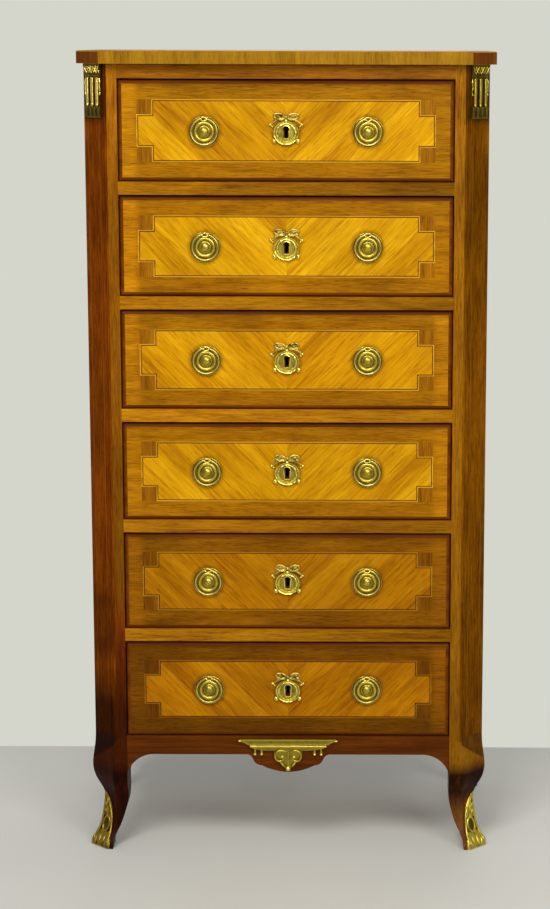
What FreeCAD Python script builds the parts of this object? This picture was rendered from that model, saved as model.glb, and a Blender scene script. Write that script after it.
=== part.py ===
import FreeCAD
import Part
import Sketcher
import math
import os
import re

# A tall chest of six equal drawers on short cabriole legs, with gilt mounts.
# X runs to the right, Y to the back and Z up; the origin lies on the floor
# under the middle of the top, and every length is in millimetres.

DRAWERS = 6
TAILS = 4
NUT_SIDES = 6
BACK_BOARDS = 3
DIAGONAL_TURN = 45
QUARTER_TURN = 90
FULL_TURN = 360

SIZES = (
    # Carcass as a whole.
    ("leg_height", "206"),
    ("body_width", "684"),
    ("body_depth", "370"),
    ("cant", "38"),
    ("stile_face", "21"),
    ("overrun", "5"),
    # Top.
    ("top_thick", "21"),
    ("side_overhang", "11"),
    ("front_overhang", "14"),
    ("back_overhang", "6"),
    ("top_edge_round", "1.2"),
    # Front frame.
    ("frieze_height", "24"),
    ("opening_height", "171.5"),
    ("rail_height", "22"),
    ("tenon_length", "14"),
    ("tenon_thick", "12"),
    ("tenon_shoulder", "3"),
    ("tenon_setback", "10"),
    # Apron with its arched ends and middle drop.
    ("apron_thick", "22"),
    ("apron_height", "33.5"),
    ("spandrel_run", "47"),
    ("spandrel_drop", "36.5"),
    ("lambrequin_reach", "76"),
    ("lambrequin_waist", "62"),
    ("lambrequin_step", "8"),
    ("lambrequin_shoulder", "46"),
    ("lambrequin_fall", "20"),
    ("lambrequin_drop", "32"),
    # Legs.
    ("knee_swell", "5.2"),
    ("ankle_waist", "16"),
    ("foot_kick", "8"),
    ("foot_taper", "27"),
    ("rear_post", "36"),
    # Sides, back and bottom.
    ("side_thick", "18"),
    ("side_arch_run", "40"),
    ("back_thick", "10"),
    ("back_inset", "2"),
    ("back_rebate", "10"),
    ("rear_rail_height", "40"),
    ("rear_rail_thick", "22"),
    ("bottom_thick", "12"),
    # Runners, guides and stops.
    ("runner_bearing", "14"),
    ("runner_thick", "18"),
    ("guide_height", "24"),
    ("stop_spacing", "360"),
    ("stop_length", "40"),
    ("stop_width", "12"),
    ("stop_height", "6"),
    ("stop_gap", "0.3"),
    # Drawers.
    ("side_gap", "1"),
    ("run_gap", "0.3"),
    ("head_gap", "1.6"),
    ("face_recess", "1"),
    ("front_thick", "22"),
    ("edge_round", "7"),
    ("drawer_side_thick", "10"),
    ("drawer_side_drop", "20"),
    ("drawer_back_thick", "9"),
    ("drawer_back_gap", "6"),
    ("panel_thick", "6"),
    ("panel_lift", "12"),
    ("panel_groove", "4"),
    ("tail_length", "13"),
    ("tail_neck", "20"),
    ("tail_flare", "3"),
    # Locks.
    ("lock_width", "70"),
    ("lock_height", "108"),
    ("lock_thick", "10"),
    ("lock_plate", "2"),
    ("lock_pin_radius", "1.3"),
    ("bolt_width", "30"),
    ("bolt_thick", "5"),
    ("bolt_height", "36"),
    ("bolt_sink", "0.5"),
    ("bolt_clear", "0.4"),
    ("bolt_mortise_clear", "1"),
    ("bolt_mortise_depth", "10"),
    ("keyhole_drop", "2.5"),
    ("keyhole_radius", "3.9"),
    ("keyhole_slot_width", "6"),
    ("keyhole_height", "19"),
    # Ring pulls.
    ("pull_spacing", "275"),
    ("pull_drop", "2"),
    ("plate_radius", "26"),
    ("plate_thick", "1.8"),
    ("plate_rim", "1.2"),
    ("band_outer", "18.4"),
    ("band_inner", "11"),
    ("band_swell", "4.2"),
    ("button_radius", "8.4"),
    ("button_height", "6.2"),
    ("button_dimple_radius", "3"),
    ("button_dimple", "1.4"),
    ("ring_radius", "21.8"),
    ("ring_wire", "1.6"),
    ("ring_seat_gap", "0.5"),
    ("eye_width", "5"),
    ("eye_wall", "1.6"),
    ("eye_clear", "0.5"),
    ("stud_radius", "2"),
    ("stud_clear", "0.1"),
    ("stud_end", "2"),
    ("nut_radius", "6"),
    ("nut_thick", "4"),
    # Keyhole escutcheons.
    ("escutcheon_width", "61"),
    ("escutcheon_height", "56"),
    ("escutcheon_thick", "2.2"),
    ("escutcheon_rise", "3.5"),
    ("wreath_radius", "16.5"),
    ("wreath_wire", "3.4"),
    ("boss_radius", "12"),
    ("boss_height", "4.6"),
    # Corner mounts.
    ("mount_width", "40"),
    ("mount_height", "90"),
    ("mount_plate", "2"),
    ("capital_height", "22"),
    ("capital_depth", "8"),
    ("rod_radius", "3.2"),
    ("rod_length", "50"),
    ("rod_spacing", "12.3"),
    ("gutta_radius", "3.6"),
    ("gutta_point", "1.8"),
    ("gutta_height", "18"),
    # Mount on the apron.
    ("ledge_width", "175"),
    ("ledge_height", "13"),
    ("ledge_depth", "11"),
    ("ledge_drop", "3"),
    ("tier_width", "135"),
    ("tier_height", "9"),
    ("tier_depth", "8"),
    ("leaf_width", "51"),
    ("leaf_height", "38"),
    ("leaf_depth", "6"),
    ("drop_gutta_radius", "3.4"),
    ("drop_gutta_height", "9"),
    ("drop_gutta_inner", "47"),
    ("drop_gutta_outer", "57"),
    # Sabots.
    ("sabot_height", "92"),
    ("sabot_thick", "2.2"),
    ("sabot_gap", "0.1"),
    ("sabot_lap", "1"),
)

# Lengths that follow from the sizes above.
DERIVED = {
    "half_body": "body_width / 2",
    "post_side": "cant + stile_face",
    "half_opening": "half_body - post_side",
    "top_depth": "front_overhang + body_depth + back_overhang",
    "half_top": "half_body + side_overhang",
    "front": "front_overhang - top_depth / 2",
    "back": "front + body_depth",
    "carcass_top": f"leg_height + {DRAWERS} * opening_height + {DRAWERS - 1} * rail_height + frieze_height",
    "height": "carcass_top + top_thick",
    "rail_back": "front + post_side",
    "tenon_front": "front + tenon_setback",
    "tenon_back": "tenon_front + tenon_thick",
    "side_inner": "half_body - side_thick",
    "rear_front": "back - rear_post",
    "board_front": "back - back_inset - back_thick",
    "rear_rail_front": "board_front - rear_rail_thick",
    "rear_rail_low": "leg_height - rear_rail_height",
    "apron_edge": "leg_height - apron_height",
    "apron_low": "apron_edge - spandrel_drop",
    "spandrel_radius": "(spandrel_run^2 + spandrel_drop^2) / (2 * spandrel_drop)",
    "side_arch_radius": "(side_arch_run^2 + spandrel_drop^2) / (2 * spandrel_drop)",
    "face": "front + face_recess",
    "front_inner": "face + front_thick",
    "front_end": "half_opening - side_gap",
    "front_top": "opening_height - head_gap",
    "side_top": "front_top - drawer_side_drop",
    "drawer_side_inner": "front_end - drawer_side_thick",
    "drawer_rear": "rear_rail_front - drawer_back_gap",
    "panel_top": "panel_lift + panel_thick",
    "tail_pitch": "(side_top - run_gap) / " + str(TAILS),
    "lock_front": "front_inner - lock_thick",
    "lock_middle": "front_inner - lock_thick / 2",
    "keyhole_level": "opening_height / 2 - keyhole_drop",
    "pull_level": "opening_height / 2 - pull_drop",
    "ring_rise": "plate_thick + ring_seat_gap + ring_wire",
    "eye_radius": "ring_wire + eye_clear",
    "eye_rise": "ring_rise + eye_radius + eye_wall",
    "capital_low": "mount_height - capital_height",
    "rod_low": "capital_low - rod_length",
    "ledge_top": "leg_height - ledge_drop",
    "tier_top": "ledge_top - ledge_height",
    "leaf_top": "tier_top - tier_height",
}

# Stations down a leg: height as a share of the leg, how far the faces swell
# out, then the inward taper and the width of the cant as shares.
LEG_STATION_SHARES = (
    ("0.9", "0.15 * knee_swell", "0", "1"),
    ("0.8", "0.68 * knee_swell", "0", "1.01"),
    ("0.69", "knee_swell", "0", "1.02"),
    ("0.61", "0.35 * knee_swell", "0", "0.94"),
    ("0.54", "-0.33 * ankle_waist", "0", "0.77"),
    ("0.47", "-0.82 * ankle_waist", "0", "0.6"),
    ("0.39", "-ankle_waist", "0.05", "0.53"),
    ("0.3", "-0.91 * ankle_waist", "0.23", "0.53"),
    ("0.21", "-0.69 * ankle_waist", "0.46", "0.58"),
    ("0.12", "-0.23 * ankle_waist", "0.8", "0.67"),
    ("0.04", "0.8 * foot_kick", "0.98", "0.8"),
    ("0", "foot_kick", "1", "0.85"),
)

# Right half of the escutcheon's outline, from the notch of the bow down to
# the foot, as shares of half its width and of its height.
ESCUTCHEON_OUTLINE_SHARES = (
    ("0.16", "0.92"),
    ("0.45", "1"),
    ("0.68", "0.86"),
    ("0.72", "0.76"),
    ("1", "0.6"),
    ("0.74", "0.5"),
    ("0.7", "0.36"),
    ("0.8", "0.16"),
    ("0.62", "0.03"),
    ("0.36", "0.03"),
)
ESCUTCHEON_NOTCH_SHARE = "0.9"

# Right half of the leaf under the apron mount, as shares of half its width
# and of its height, from the tier down to the bud.
LEAF_OUTLINE_SHARES = (
    ("1", "0"),
    ("0.94", "0.24"),
    ("0.66", "0.42"),
    ("0.5", "0.62"),
    ("0.16", "0.76"),
    ("0.2", "0.9"),
)

# Radii of the lambrequin's hollow, its shoulder and its lower edge, as shares of their runs.
HOLLOW_SHARE = "0.6"
SHOULDER_SHARE = "0.6"
SWELL_SHARE = "2.2"


doc = FreeCAD.newDocument("chest")
sheet = doc.addObject("Spreadsheet::Sheet", "sizes")
for row, (alias, number) in enumerate(SIZES, start=1):
    sheet.set(f"A{row}", alias)
    sheet.set(f"B{row}", number)
    sheet.setAlias(f"B{row}", alias)
doc.recompute()
ALIASES = {alias for alias, number in SIZES}


def formula(text):
    """Write a sum of named lengths as an expression over the sheet's cells."""

    def swap(match):
        word = match.group(0)
        if word in DERIVED:
            return f"({formula(DERIVED[word])})"
        return f"sizes.{word}" if word in ALIASES else word

    return re.sub(r"[a-z_]+", swap, text)


def value(text):
    """Work out a sum of named lengths in millimetres."""
    return float(sheet.evalExpression(formula(text)))


def bind(item, **sums):
    """Bind properties of an object to sums of named lengths."""
    for name, text in sums.items():
        item.setExpression(name, formula(text))


def move(item, x="0", y="0", z="0"):
    """Bind the place of an object."""
    for letter, text in zip("xyz", (x, y, z)):
        item.setExpression(f"Placement.Base.{letter}", formula(text))


def turn(item, axis, angle):
    """Turn an object about its own origin."""
    item.Placement = FreeCAD.Placement(FreeCAD.Vector(), FreeCAD.Rotation(FreeCAD.Vector(*axis), angle))


def block(name, low, high):
    """Box between two corners."""
    box = doc.addObject("Part::Box", name)
    spans = [f"({far}) - ({near})" for near, far in zip(low, high)]
    bind(box, Length=spans[0], Width=spans[1], Height=spans[2])
    move(box, *low)
    return box


def rod(name, radius, length, start, axis="z"):
    """Round bar from a point along +X, +Y or +Z."""
    bar = doc.addObject("Part::Cylinder", name)
    bind(bar, Radius=radius, Height=length)
    if axis == "x":
        turn(bar, (0, 1, 0), QUARTER_TURN)
    if axis == "y":
        turn(bar, (1, 0, 0), -QUARTER_TURN)
    move(bar, *start)
    return bar


def hoop(name, radius, wire, centre):
    """Round ring that faces the front."""
    ring = doc.addObject("Part::Torus", name)
    bind(ring, Radius1=radius, Radius2=wire)
    turn(ring, (1, 0, 0), QUARTER_TURN)
    move(ring, *centre)
    return ring


def group(name, pieces):
    """Separate solids under one name."""
    bundle = doc.addObject("Part::Compound", name)
    bundle.Links = list(pieces)
    return bundle


def fuse(name, *pieces):
    """One solid from several."""
    whole = doc.addObject("Part::MultiFuse", name)
    whole.Shapes = list(pieces)
    whole.Refine = True
    return whole


def cut(name, base, *tools):
    """Take tools away from a base."""
    result = doc.addObject("Part::Cut", name)
    result.Base = base
    result.Tool = tools[0] if len(tools) == 1 else group(name + "_tools", tools)
    result.Refine = True
    return result


def mirrored(name, source):
    """The same piece on the other side of the chest."""
    twin = doc.addObject("Part::Mirroring", name)
    twin.Source = source
    twin.Normal = FreeCAD.Vector(1, 0, 0)
    return twin


def placed(name, source, x="0", y="0", z="0", angle=0):
    """A piece set in its place, turned about the upright."""
    copy = group(name, [source])
    turn(copy, (0, 0, 1), angle)
    move(copy, x, y, z)
    return copy


def new_body(name):
    """Empty body."""
    return doc.addObject("PartDesign::Body", name)


def new_sketch(body, name, plane, offset="0"):
    """Sketch on one of the body's own planes, set off along its normal."""
    sketch = body.newObject("Sketcher::SketchObject", name)
    support = [item for item in body.Origin.OriginFeatures if item.Role == plane][0]
    sketch.AttachmentSupport = [(support, "")]
    sketch.MapMode = "FlatFace"
    sketch.setExpression("AttachmentOffset.Base.z", formula(offset))
    return sketch


def arc_edge(start, end, radius, way):
    """Arc between two points; way is 1 to the left and -1 to the right."""
    chord = end - start
    rise = math.sqrt(radius ** 2 - (chord.Length / 2) ** 2)
    side = FreeCAD.Vector(-chord.y, chord.x, 0).normalize() * rise * way
    centre = (start + end) / 2 + side
    first, last = (start, end) if way > 0 else (end, start)
    angles = [math.atan2(point.y - centre.y, point.x - centre.x) for point in (first, last)]
    return Part.ArcOfCircle(Part.Circle(centre, FreeCAD.Vector(0, 0, 1), radius), *angles)


def pin_point(sketch, edge, end, u, v):
    """Fix the end of an edge at two named distances from the sketch's origin."""
    for kind, text in (("DistanceX", u), ("DistanceY", v)):
        index = sketch.addConstraint(Sketcher.Constraint(kind, -1, 1, edge, end, value(text)))
        sketch.setExpression(f"Constraints[{index}]", formula(text))


def outline(sketch, corners):
    """Closed outline; a corner with a radius and a way starts an arc."""
    points = [FreeCAD.Vector(value(corner[0]), value(corner[1]), 0) for corner in corners]
    ends = []
    for corner, start, end in zip(corners, points, points[1:] + points[:1]):
        if not corner[2:]:
            edge = sketch.addGeometry(Part.LineSegment(start, end), False)
            ends.append((edge, 1, 2))
            continue
        radius, way = corner[2:]
        edge = sketch.addGeometry(arc_edge(start, end, value(radius), way), False)
        ends.append((edge, 1, 2) if way > 0 else (edge, 2, 1))
    for this, after in zip(ends, ends[1:] + ends[:1]):
        sketch.addConstraint(Sketcher.Constraint("Coincident", this[0], this[2], after[0], after[1]))
    for corner, (edge, start, end) in zip(corners, ends):
        pin_point(sketch, edge, start, corner[0], corner[1])
        if corner[2:]:
            index = sketch.addConstraint(Sketcher.Constraint("Radius", edge, value(corner[2])))
            sketch.setExpression(f"Constraints[{index}]", formula(corner[2]))


def rectangle(sketch, left, low, right, high):
    """Upright rectangle."""
    outline(sketch, ((left, low), (right, low), (right, high), (left, high)))


def pad(body, sketch, length, back=False):
    """Extrude a sketch along its normal, or against it."""
    feature = body.newObject("PartDesign::Pad", sketch.Name + "_pad")
    feature.Profile = sketch
    feature.Reversed = back
    bind(feature, Length=length)
    return feature


def round_edges(body, radius, chosen):
    """Round the edges of the body's last feature that the test picks."""
    doc.recompute()
    base = body.Tip
    names = [f"Edge{i}" for i, edge in enumerate(base.Shape.Edges, start=1) if chosen(edge)]
    feature = body.newObject("PartDesign::Fillet", body.Name + "_round")
    feature.Base = (base, names)
    bind(feature, Radius=radius)
    return feature


def flat_at(edge, axis, level):
    """Whether an edge lies wholly at one level of an axis."""
    return all(abs(getattr(vertex, axis) - level) < Part.Precision.confusion() * 10 for vertex in edge.Vertexes)


def opening_floor(number):
    """Level on which drawer number 1 (top) to 6 (bottom) runs."""
    return f"(leg_height + {DRAWERS - number} * (opening_height + rail_height))"


def make_top():
    """Slab with canted front corners."""
    body = new_body("top_board")
    sketch = new_sketch(body, "top_outline", "XY_Plane", "carcass_top")
    front_edge = "front - front_overhang"
    back_edge = "back + back_overhang"
    corner = "cant + side_overhang - (side_overhang + front_overhang) * (2 - sqrt(2)) / 2"
    outline(sketch, (
        ("-half_top", f"{front_edge} + {corner}"),
        (f"-half_top + {corner}", front_edge),
        (f"half_top - ({corner})", front_edge),
        ("half_top", f"{front_edge} + {corner}"),
        ("half_top", back_edge),
        ("-half_top", back_edge),
    ))
    pad(body, sketch, "top_thick")
    round_edges(body, "top_edge_round", lambda edge: flat_at(edge, "Z", value("height")))
    return body


def leg_section(body, name, station, spread="0"):
    """Five-sided section of a front leg, its faces set out by a spread."""
    rise, swell, taper, slant = station
    outer = f"half_body + ({swell}) + {spread}"
    near = f"front - ({swell}) - {spread}"
    inner = f"half_opening + {taper} * foot_taper"
    far = f"rail_back - {taper} * foot_taper"
    slope = f"({slant} * cant + (2 - sqrt(2)) * ({spread}))"
    sketch = new_sketch(body, name, "XY_Plane", f"{rise} * leg_height")
    outline(sketch, (
        (inner, near),
        (f"{outer} - {slope}", near),
        (outer, f"{near} + {slope}"),
        (outer, far),
        (inner, far),
    ))
    return sketch


def leg_loft(body, name, kind, spread="0"):
    """Loft down a front leg from the apron to the floor."""
    top = ("1", "0", "0", "1")
    sections = [
        leg_section(body, f"{name}_{i}", station, spread)
        for i, station in enumerate((top,) + LEG_STATION_SHARES)
    ]
    loft = body.newObject(kind, name)
    loft.Profile = sections[0]
    loft.Sections = sections[1:]
    return loft


def tenon_levels():
    """Lower and upper level of every tenon in a front post."""
    levels = [("carcass_top - frieze_height", "carcass_top"), ("apron_edge", "leg_height")]
    for number in range(1, DRAWERS):
        levels.append((f"{opening_floor(number)} - rail_height", opening_floor(number)))
    return [(f"{low} + tenon_shoulder", f"{high} - tenon_shoulder") for low, high in levels]


def make_front_post():
    """Right front post and leg in one piece, with mortises for the rails."""
    body = new_body("front_post_stock")
    sketch = new_sketch(body, "front_post_section", "XY_Plane", "leg_height")
    outline(sketch, (
        ("half_opening", "front"),
        ("half_body - cant", "front"),
        ("half_body", "front + cant"),
        ("half_body", "rail_back"),
        ("half_opening", "rail_back"),
    ))
    pad(body, sketch, "carcass_top - leg_height")
    leg_loft(body, "front_leg", "PartDesign::AdditiveLoft")
    mortises = [
        block(f"post_mortise_{i}", ("half_opening", "tenon_front", low),
              ("half_opening + tenon_length", "tenon_back", high))
        for i, (low, high) in enumerate(tenon_levels())
    ]
    beside = block("front_trim_beside", ("half_opening - overrun", "front - overrun", "0"),
                   ("half_opening", "rail_back + overrun", "leg_height"))
    across = block("front_trim_across", ("half_opening - overrun", "rail_back", "0"),
                   ("half_body + foot_kick + overrun", "rail_back + overrun", "leg_height"))
    return cut("front_right_post", body, *mortises, beside, across)


def make_rear_post():
    """Right rear post and leg, flat at the back, rebated for the back boards."""
    body = new_body("rear_post_stock")
    post_inner = "half_body - rear_post"
    sketch = new_sketch(body, "rear_post_section", "XY_Plane", "leg_height")
    rectangle(sketch, post_inner, "rear_front", "half_body", "back")
    pad(body, sketch, "carcass_top - leg_height")
    sections = []
    top = ("1", "0", "0", "1")
    for i, (rise, swell, taper, slant) in enumerate((top,) + LEG_STATION_SHARES):
        section = new_sketch(body, f"rear_leg_{i}", "XY_Plane", f"{rise} * leg_height")
        rectangle(section, f"{post_inner} + {taper} * foot_taper / 2",
                  f"rear_front + {taper} * foot_taper / 2", f"half_body + ({swell})", "back")
        sections.append(section)
    loft = body.newObject("PartDesign::AdditiveLoft", "rear_leg")
    loft.Profile = sections[0]
    loft.Sections = sections[1:]
    rebate = block("rear_rebate", (post_inner, "board_front", "rear_rail_low"),
                   (f"{post_inner} + back_rebate", "back + overrun", "carcass_top"))
    beside = block("rear_trim_beside", (f"{post_inner} - overrun", "rear_front - overrun", "0"),
                   (post_inner, "back + overrun", "leg_height"))
    across = block("rear_trim_across", (f"{post_inner} - overrun", "rear_front - overrun", "0"),
                   ("half_body + foot_kick + overrun", "rear_front", "leg_height"))
    return cut("rear_right_post", body, rebate, beside, across)


def make_side_panel():
    """Right side between the posts, its lower edge arched like the apron."""
    body = new_body("right_side_panel")
    sketch = new_sketch(body, "side_outline", "YZ_Plane", "side_inner")
    outline(sketch, (
        ("rail_back", "carcass_top"),
        ("rail_back", "apron_low", "side_arch_radius", -1),
        ("rail_back + side_arch_run", "apron_edge"),
        ("rear_front - side_arch_run", "apron_edge", "side_arch_radius", -1),
        ("rear_front", "apron_low"),
        ("rear_front", "carcass_top"),
    ))
    pad(body, sketch, "side_thick")
    return body


def make_rail(name, low, high):
    """Rail across the front with stub tenons and a mortise for the bolt below it."""
    bar = block(name + "_bar", ("-half_opening", "front", low), ("half_opening", "rail_back", high))
    tenon = block(name + "_tenon", ("-half_opening - tenon_length", "tenon_front", f"{low} + tenon_shoulder"),
                  ("half_opening + tenon_length", "tenon_back", f"{high} - tenon_shoulder"))
    whole = fuse(name + "_whole", bar, tenon)
    slot = block(
        name + "_slot",
        ("-bolt_width / 2 - bolt_mortise_clear",
         "lock_middle - bolt_thick / 2 - bolt_mortise_clear", f"{low} - overrun"),
        ("bolt_width / 2 + bolt_mortise_clear",
         "lock_middle + bolt_thick / 2 + bolt_mortise_clear", f"{low} + bolt_mortise_depth"))
    return cut(name, whole, slot)


def make_apron():
    """Apron with arched ends and a lambrequin drop in the middle."""
    body = new_body("apron_board")
    sketch = new_sketch(body, "apron_outline", "XZ_Plane", "-front")
    step = "apron_edge - lambrequin_step"
    tip = "apron_edge - lambrequin_drop"
    fall = "apron_edge - lambrequin_fall"
    hollow = "(lambrequin_reach - lambrequin_waist + lambrequin_step) * " + HOLLOW_SHARE
    turn_in = "(lambrequin_waist - lambrequin_shoulder + lambrequin_fall - lambrequin_step) * " + SHOULDER_SHARE
    swell = "lambrequin_shoulder * " + SWELL_SHARE
    outline(sketch, (
        ("-half_opening", "leg_height"),
        ("-half_opening", "apron_low", "spandrel_radius", -1),
        ("-half_opening + spandrel_run", "apron_edge"),
        ("-lambrequin_reach", "apron_edge", hollow, -1),
        ("-lambrequin_waist", step, turn_in, 1),
        ("-lambrequin_shoulder", fall, swell, 1),
        ("0", tip, swell, 1),
        ("lambrequin_shoulder", fall, turn_in, 1),
        ("lambrequin_waist", step, hollow, -1),
        ("lambrequin_reach", "apron_edge"),
        ("half_opening - spandrel_run", "apron_edge", "spandrel_radius", -1),
        ("half_opening", "apron_low"),
        ("half_opening", "leg_height"),
    ))
    pad(body, sketch, "apron_thick", back=True)
    tenon = block("apron_tenon", ("-half_opening - tenon_length", "tenon_front", "apron_edge + tenon_shoulder"),
                  ("half_opening + tenon_length", "tenon_back", "leg_height - tenon_shoulder"))
    return fuse("apron_rail", body, tenon)


def make_back():
    """Upright back boards and the two rails that they are nailed to."""
    reach = "(half_body - rear_post + back_rebate)"
    boards = [
        block(f"back_board_{i + 1}",
              (f"-{reach} + {i} * 2 * {reach} / {BACK_BOARDS}", "board_front", "rear_rail_low"),
              (f"-{reach} + {i + 1} * 2 * {reach} / {BACK_BOARDS}", "back - back_inset", "carcass_top"))
        for i in range(BACK_BOARDS)
    ]
    rails = [
        block(f"rear_rail_{i + 1}", ("-half_body + rear_post", "rear_rail_front", f"{top} - rear_rail_height"),
              ("half_body - rear_post", "board_front", top))
        for i, top in enumerate(("carcass_top", "leg_height"))
    ]
    return group("back_boards", boards), group("rear_rails", rails)


def make_bottom():
    """Bottom board, notched round the posts, on which the lowest drawer runs."""
    low = "leg_height - bottom_thick"
    middle = block("bottom_middle", ("-half_opening", "front + apron_thick", low),
                   ("half_opening", "rear_rail_front", "leg_height"))
    wings = block("bottom_wings", ("-side_inner", "rail_back", low), ("side_inner", "rear_front", "leg_height"))
    return fuse("bottom_board", middle, wings)


def make_runners():
    """Runners with drawer guides down both sides."""
    pieces = []
    for number in range(1, DRAWERS + 1):
        floor = opening_floor(number)
        name = f"runner_{number}"
        guide = block(name + "_guide", ("half_opening", "rail_back", floor),
                      ("side_inner", "rear_front", f"{floor} + guide_height"))
        if number < DRAWERS:
            ledge = block(name + "_ledge", ("half_opening - runner_bearing", "rail_back", f"{floor} - runner_thick"),
                          ("side_inner", "rear_front", floor))
            guide = fuse(name, guide, ledge)
        pieces += [guide, mirrored(name + "_left", guide)]
    return group("drawer_runners", pieces)


def make_stops():
    """Blocks behind the drawer fronts that stop the drawers flush."""
    pieces = []
    for number in range(1, DRAWERS + 1):
        floor = opening_floor(number)
        stop = block(f"stop_{number}", ("stop_spacing / 2 - stop_length / 2", "front_inner + stop_gap", floor),
                     ("stop_spacing / 2 + stop_length / 2", "front_inner + stop_gap + stop_width",
                      f"{floor} + stop_height"))
        pieces += [stop, mirrored(f"stop_{number}_left", stop)]
    return group("drawer_stops", pieces)


def make_drawer_side():
    """Right drawer side, grooved for the bottom, its dovetails in the front."""
    body = new_body("drawer_side_stock")
    sketch = new_sketch(body, "drawer_side_outline", "YZ_Plane", "drawer_side_inner")
    corners = [("drawer_rear", "run_gap"), ("drawer_rear", "side_top"), ("front_inner", "side_top")]
    for number in reversed(range(TAILS)):
        middle = f"run_gap + ({number} + 0.5) * tail_pitch"
        corners += [
            ("front_inner", f"{middle} + tail_neck / 2"),
            ("front_inner - tail_length", f"{middle} + tail_neck / 2 + tail_flare"),
            ("front_inner - tail_length", f"{middle} - tail_neck / 2 - tail_flare"),
            ("front_inner", f"{middle} - tail_neck / 2"),
        ]
    outline(sketch, corners + [("front_inner", "run_gap")])
    pad(body, sketch, "drawer_side_thick")
    groove = block("drawer_side_groove", ("drawer_side_inner - overrun", "face", "panel_lift"),
                   ("drawer_side_inner + panel_groove", "drawer_rear + overrun", "panel_top"))
    return cut("drawer_side_right", body, groove)


def make_keyhole():
    """Keyhole through escutcheon, front and lock case: a round over a slot."""
    start = "face - boss_height - escutcheon_rise - overrun"
    length = f"front_inner - lock_plate - ({start})"
    top = "keyhole_level + keyhole_height / 2"
    eye = rod("keyhole_eye", "keyhole_radius", length, ("0", start, f"{top} - keyhole_radius"), "y")
    slot = block("keyhole_slot", ("-keyhole_slot_width / 2", start, f"{top} - keyhole_height"),
                 ("keyhole_slot_width / 2", "front_inner - lock_plate", f"{top} - keyhole_radius"))
    return fuse("keyhole", eye, slot)


def make_drawer_front(side, keyhole):
    """Drawer front with a rounded edge, dovetail sockets, groove, lock recess and bores."""
    body = new_body("drawer_front_stock")
    sketch = new_sketch(body, "drawer_front_outline", "XZ_Plane", "-(face)")
    rectangle(sketch, "-front_end", "run_gap", "front_end", "front_top")
    pad(body, sketch, "front_thick", back=True)
    round_edges(body, "edge_round", lambda edge: flat_at(edge, "Y", value("face")))
    groove = block("front_groove", ("-drawer_side_inner - panel_groove", "front_inner - panel_groove", "panel_lift"),
                   ("drawer_side_inner + panel_groove", "front_inner + overrun", "panel_top"))
    recess = block("front_recess", ("-lock_width / 2", "lock_front", "front_top - lock_height"),
                   ("lock_width / 2", "front_inner + overrun", "front_top + overrun"))
    bores = [
        rod(f"front_bore_{hand}", "stud_radius + stud_clear", "front_thick + 2 * overrun",
            (f"{sign}pull_spacing / 2", "face - overrun", "pull_level"), "y")
        for hand, sign in (("left", "-"), ("right", ""))
    ]
    sides = (side, mirrored("front_socket_left", side))
    return cut("drawer_front", body, *sides, groove, recess, keyhole, *bores)


def make_drawer_box(side):
    """Sides, back and bottom of a drawer."""
    back = block("drawer_back", ("-drawer_side_inner", "drawer_rear - drawer_back_thick", "panel_top"),
                 ("drawer_side_inner", "drawer_rear", "side_top"))
    panel = block("drawer_panel", ("-drawer_side_inner - panel_groove", "front_inner - panel_groove", "panel_lift"),
                  ("drawer_side_inner + panel_groove", "drawer_rear", "panel_top"))
    return group("drawer_box", [side, mirrored("drawer_side_left", side), back, panel])


def make_lock(keyhole):
    """Lock case let into the front, with a channel for its bolt and a pin for the key."""
    case = block("lock_case", ("-lock_width / 2", "lock_front", "front_top - lock_height"),
                 ("lock_width / 2", "front_inner", "front_top"))
    channel = block(
        "lock_channel",
        ("-bolt_width / 2 - bolt_clear", "lock_middle - bolt_thick / 2 - bolt_clear",
         "front_top - bolt_sink - bolt_height - bolt_clear"),
        ("bolt_width / 2 + bolt_clear", "lock_middle + bolt_thick / 2 + bolt_clear", "front_top + overrun"))
    hollow = cut("lock_hollow", case, channel, keyhole)
    pin = rod("lock_pin", "lock_pin_radius", "lock_thick - lock_plate",
              ("0", "lock_front", "keyhole_level + keyhole_height / 2 - keyhole_radius"), "y")
    return fuse("lock", hollow, pin)


def make_pull_plate():
    """Turned plate of a ring pull with its eye above and its stud behind."""
    body = new_body("pull_plate_turning")
    sketch = new_sketch(body, "pull_plate_profile", "XY_Plane")
    band_chord = "(band_outer - band_inner)"
    band_curve = f"({band_chord}^2 / 4 + band_swell^2) / (2 * band_swell)"
    groove = "plate_radius - plate_rim"
    outline(sketch, (
        ("0", "0"),
        ("0", "-button_height + button_dimple"),
        ("button_dimple_radius", "-button_height"),
        ("button_radius - plate_rim", "-button_height"),
        ("button_radius", "-button_height + plate_rim"),
        ("button_radius", "-plate_thick"),
        ("band_inner", "-plate_thick", band_curve, 1),
        ("band_outer", "-plate_thick"),
        (f"{groove}", "-plate_thick"),
        (f"{groove}", "-plate_thick - plate_rim"),
        ("plate_radius", "-plate_thick - plate_rim"),
        ("plate_radius", "0"),
    ))
    turning = body.newObject("PartDesign::Revolution", "pull_plate_turned")
    turning.Profile = sketch
    turning.ReferenceAxis = (sketch, ["V_Axis"])
    turning.Angle = FULL_TURN
    eye_reach = "(eye_radius + eye_wall)"
    eye = block("pull_eye_block", ("-eye_width / 2", "-eye_rise", f"ring_radius - {eye_reach}"),
                ("eye_width / 2", "0", f"ring_radius + {eye_reach}"))
    whole = fuse("pull_plate_whole", body, eye,
                 rod("pull_stud", "stud_radius", "front_thick + nut_thick + stud_end", ("0", "0", "0"), "y"))
    bore = rod("pull_eye_bore", "eye_radius", "eye_width + 2 * overrun",
               ("-eye_width / 2 - overrun", "-ring_rise", "ring_radius"), "x")
    return cut("pull_plate", whole, bore)


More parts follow.
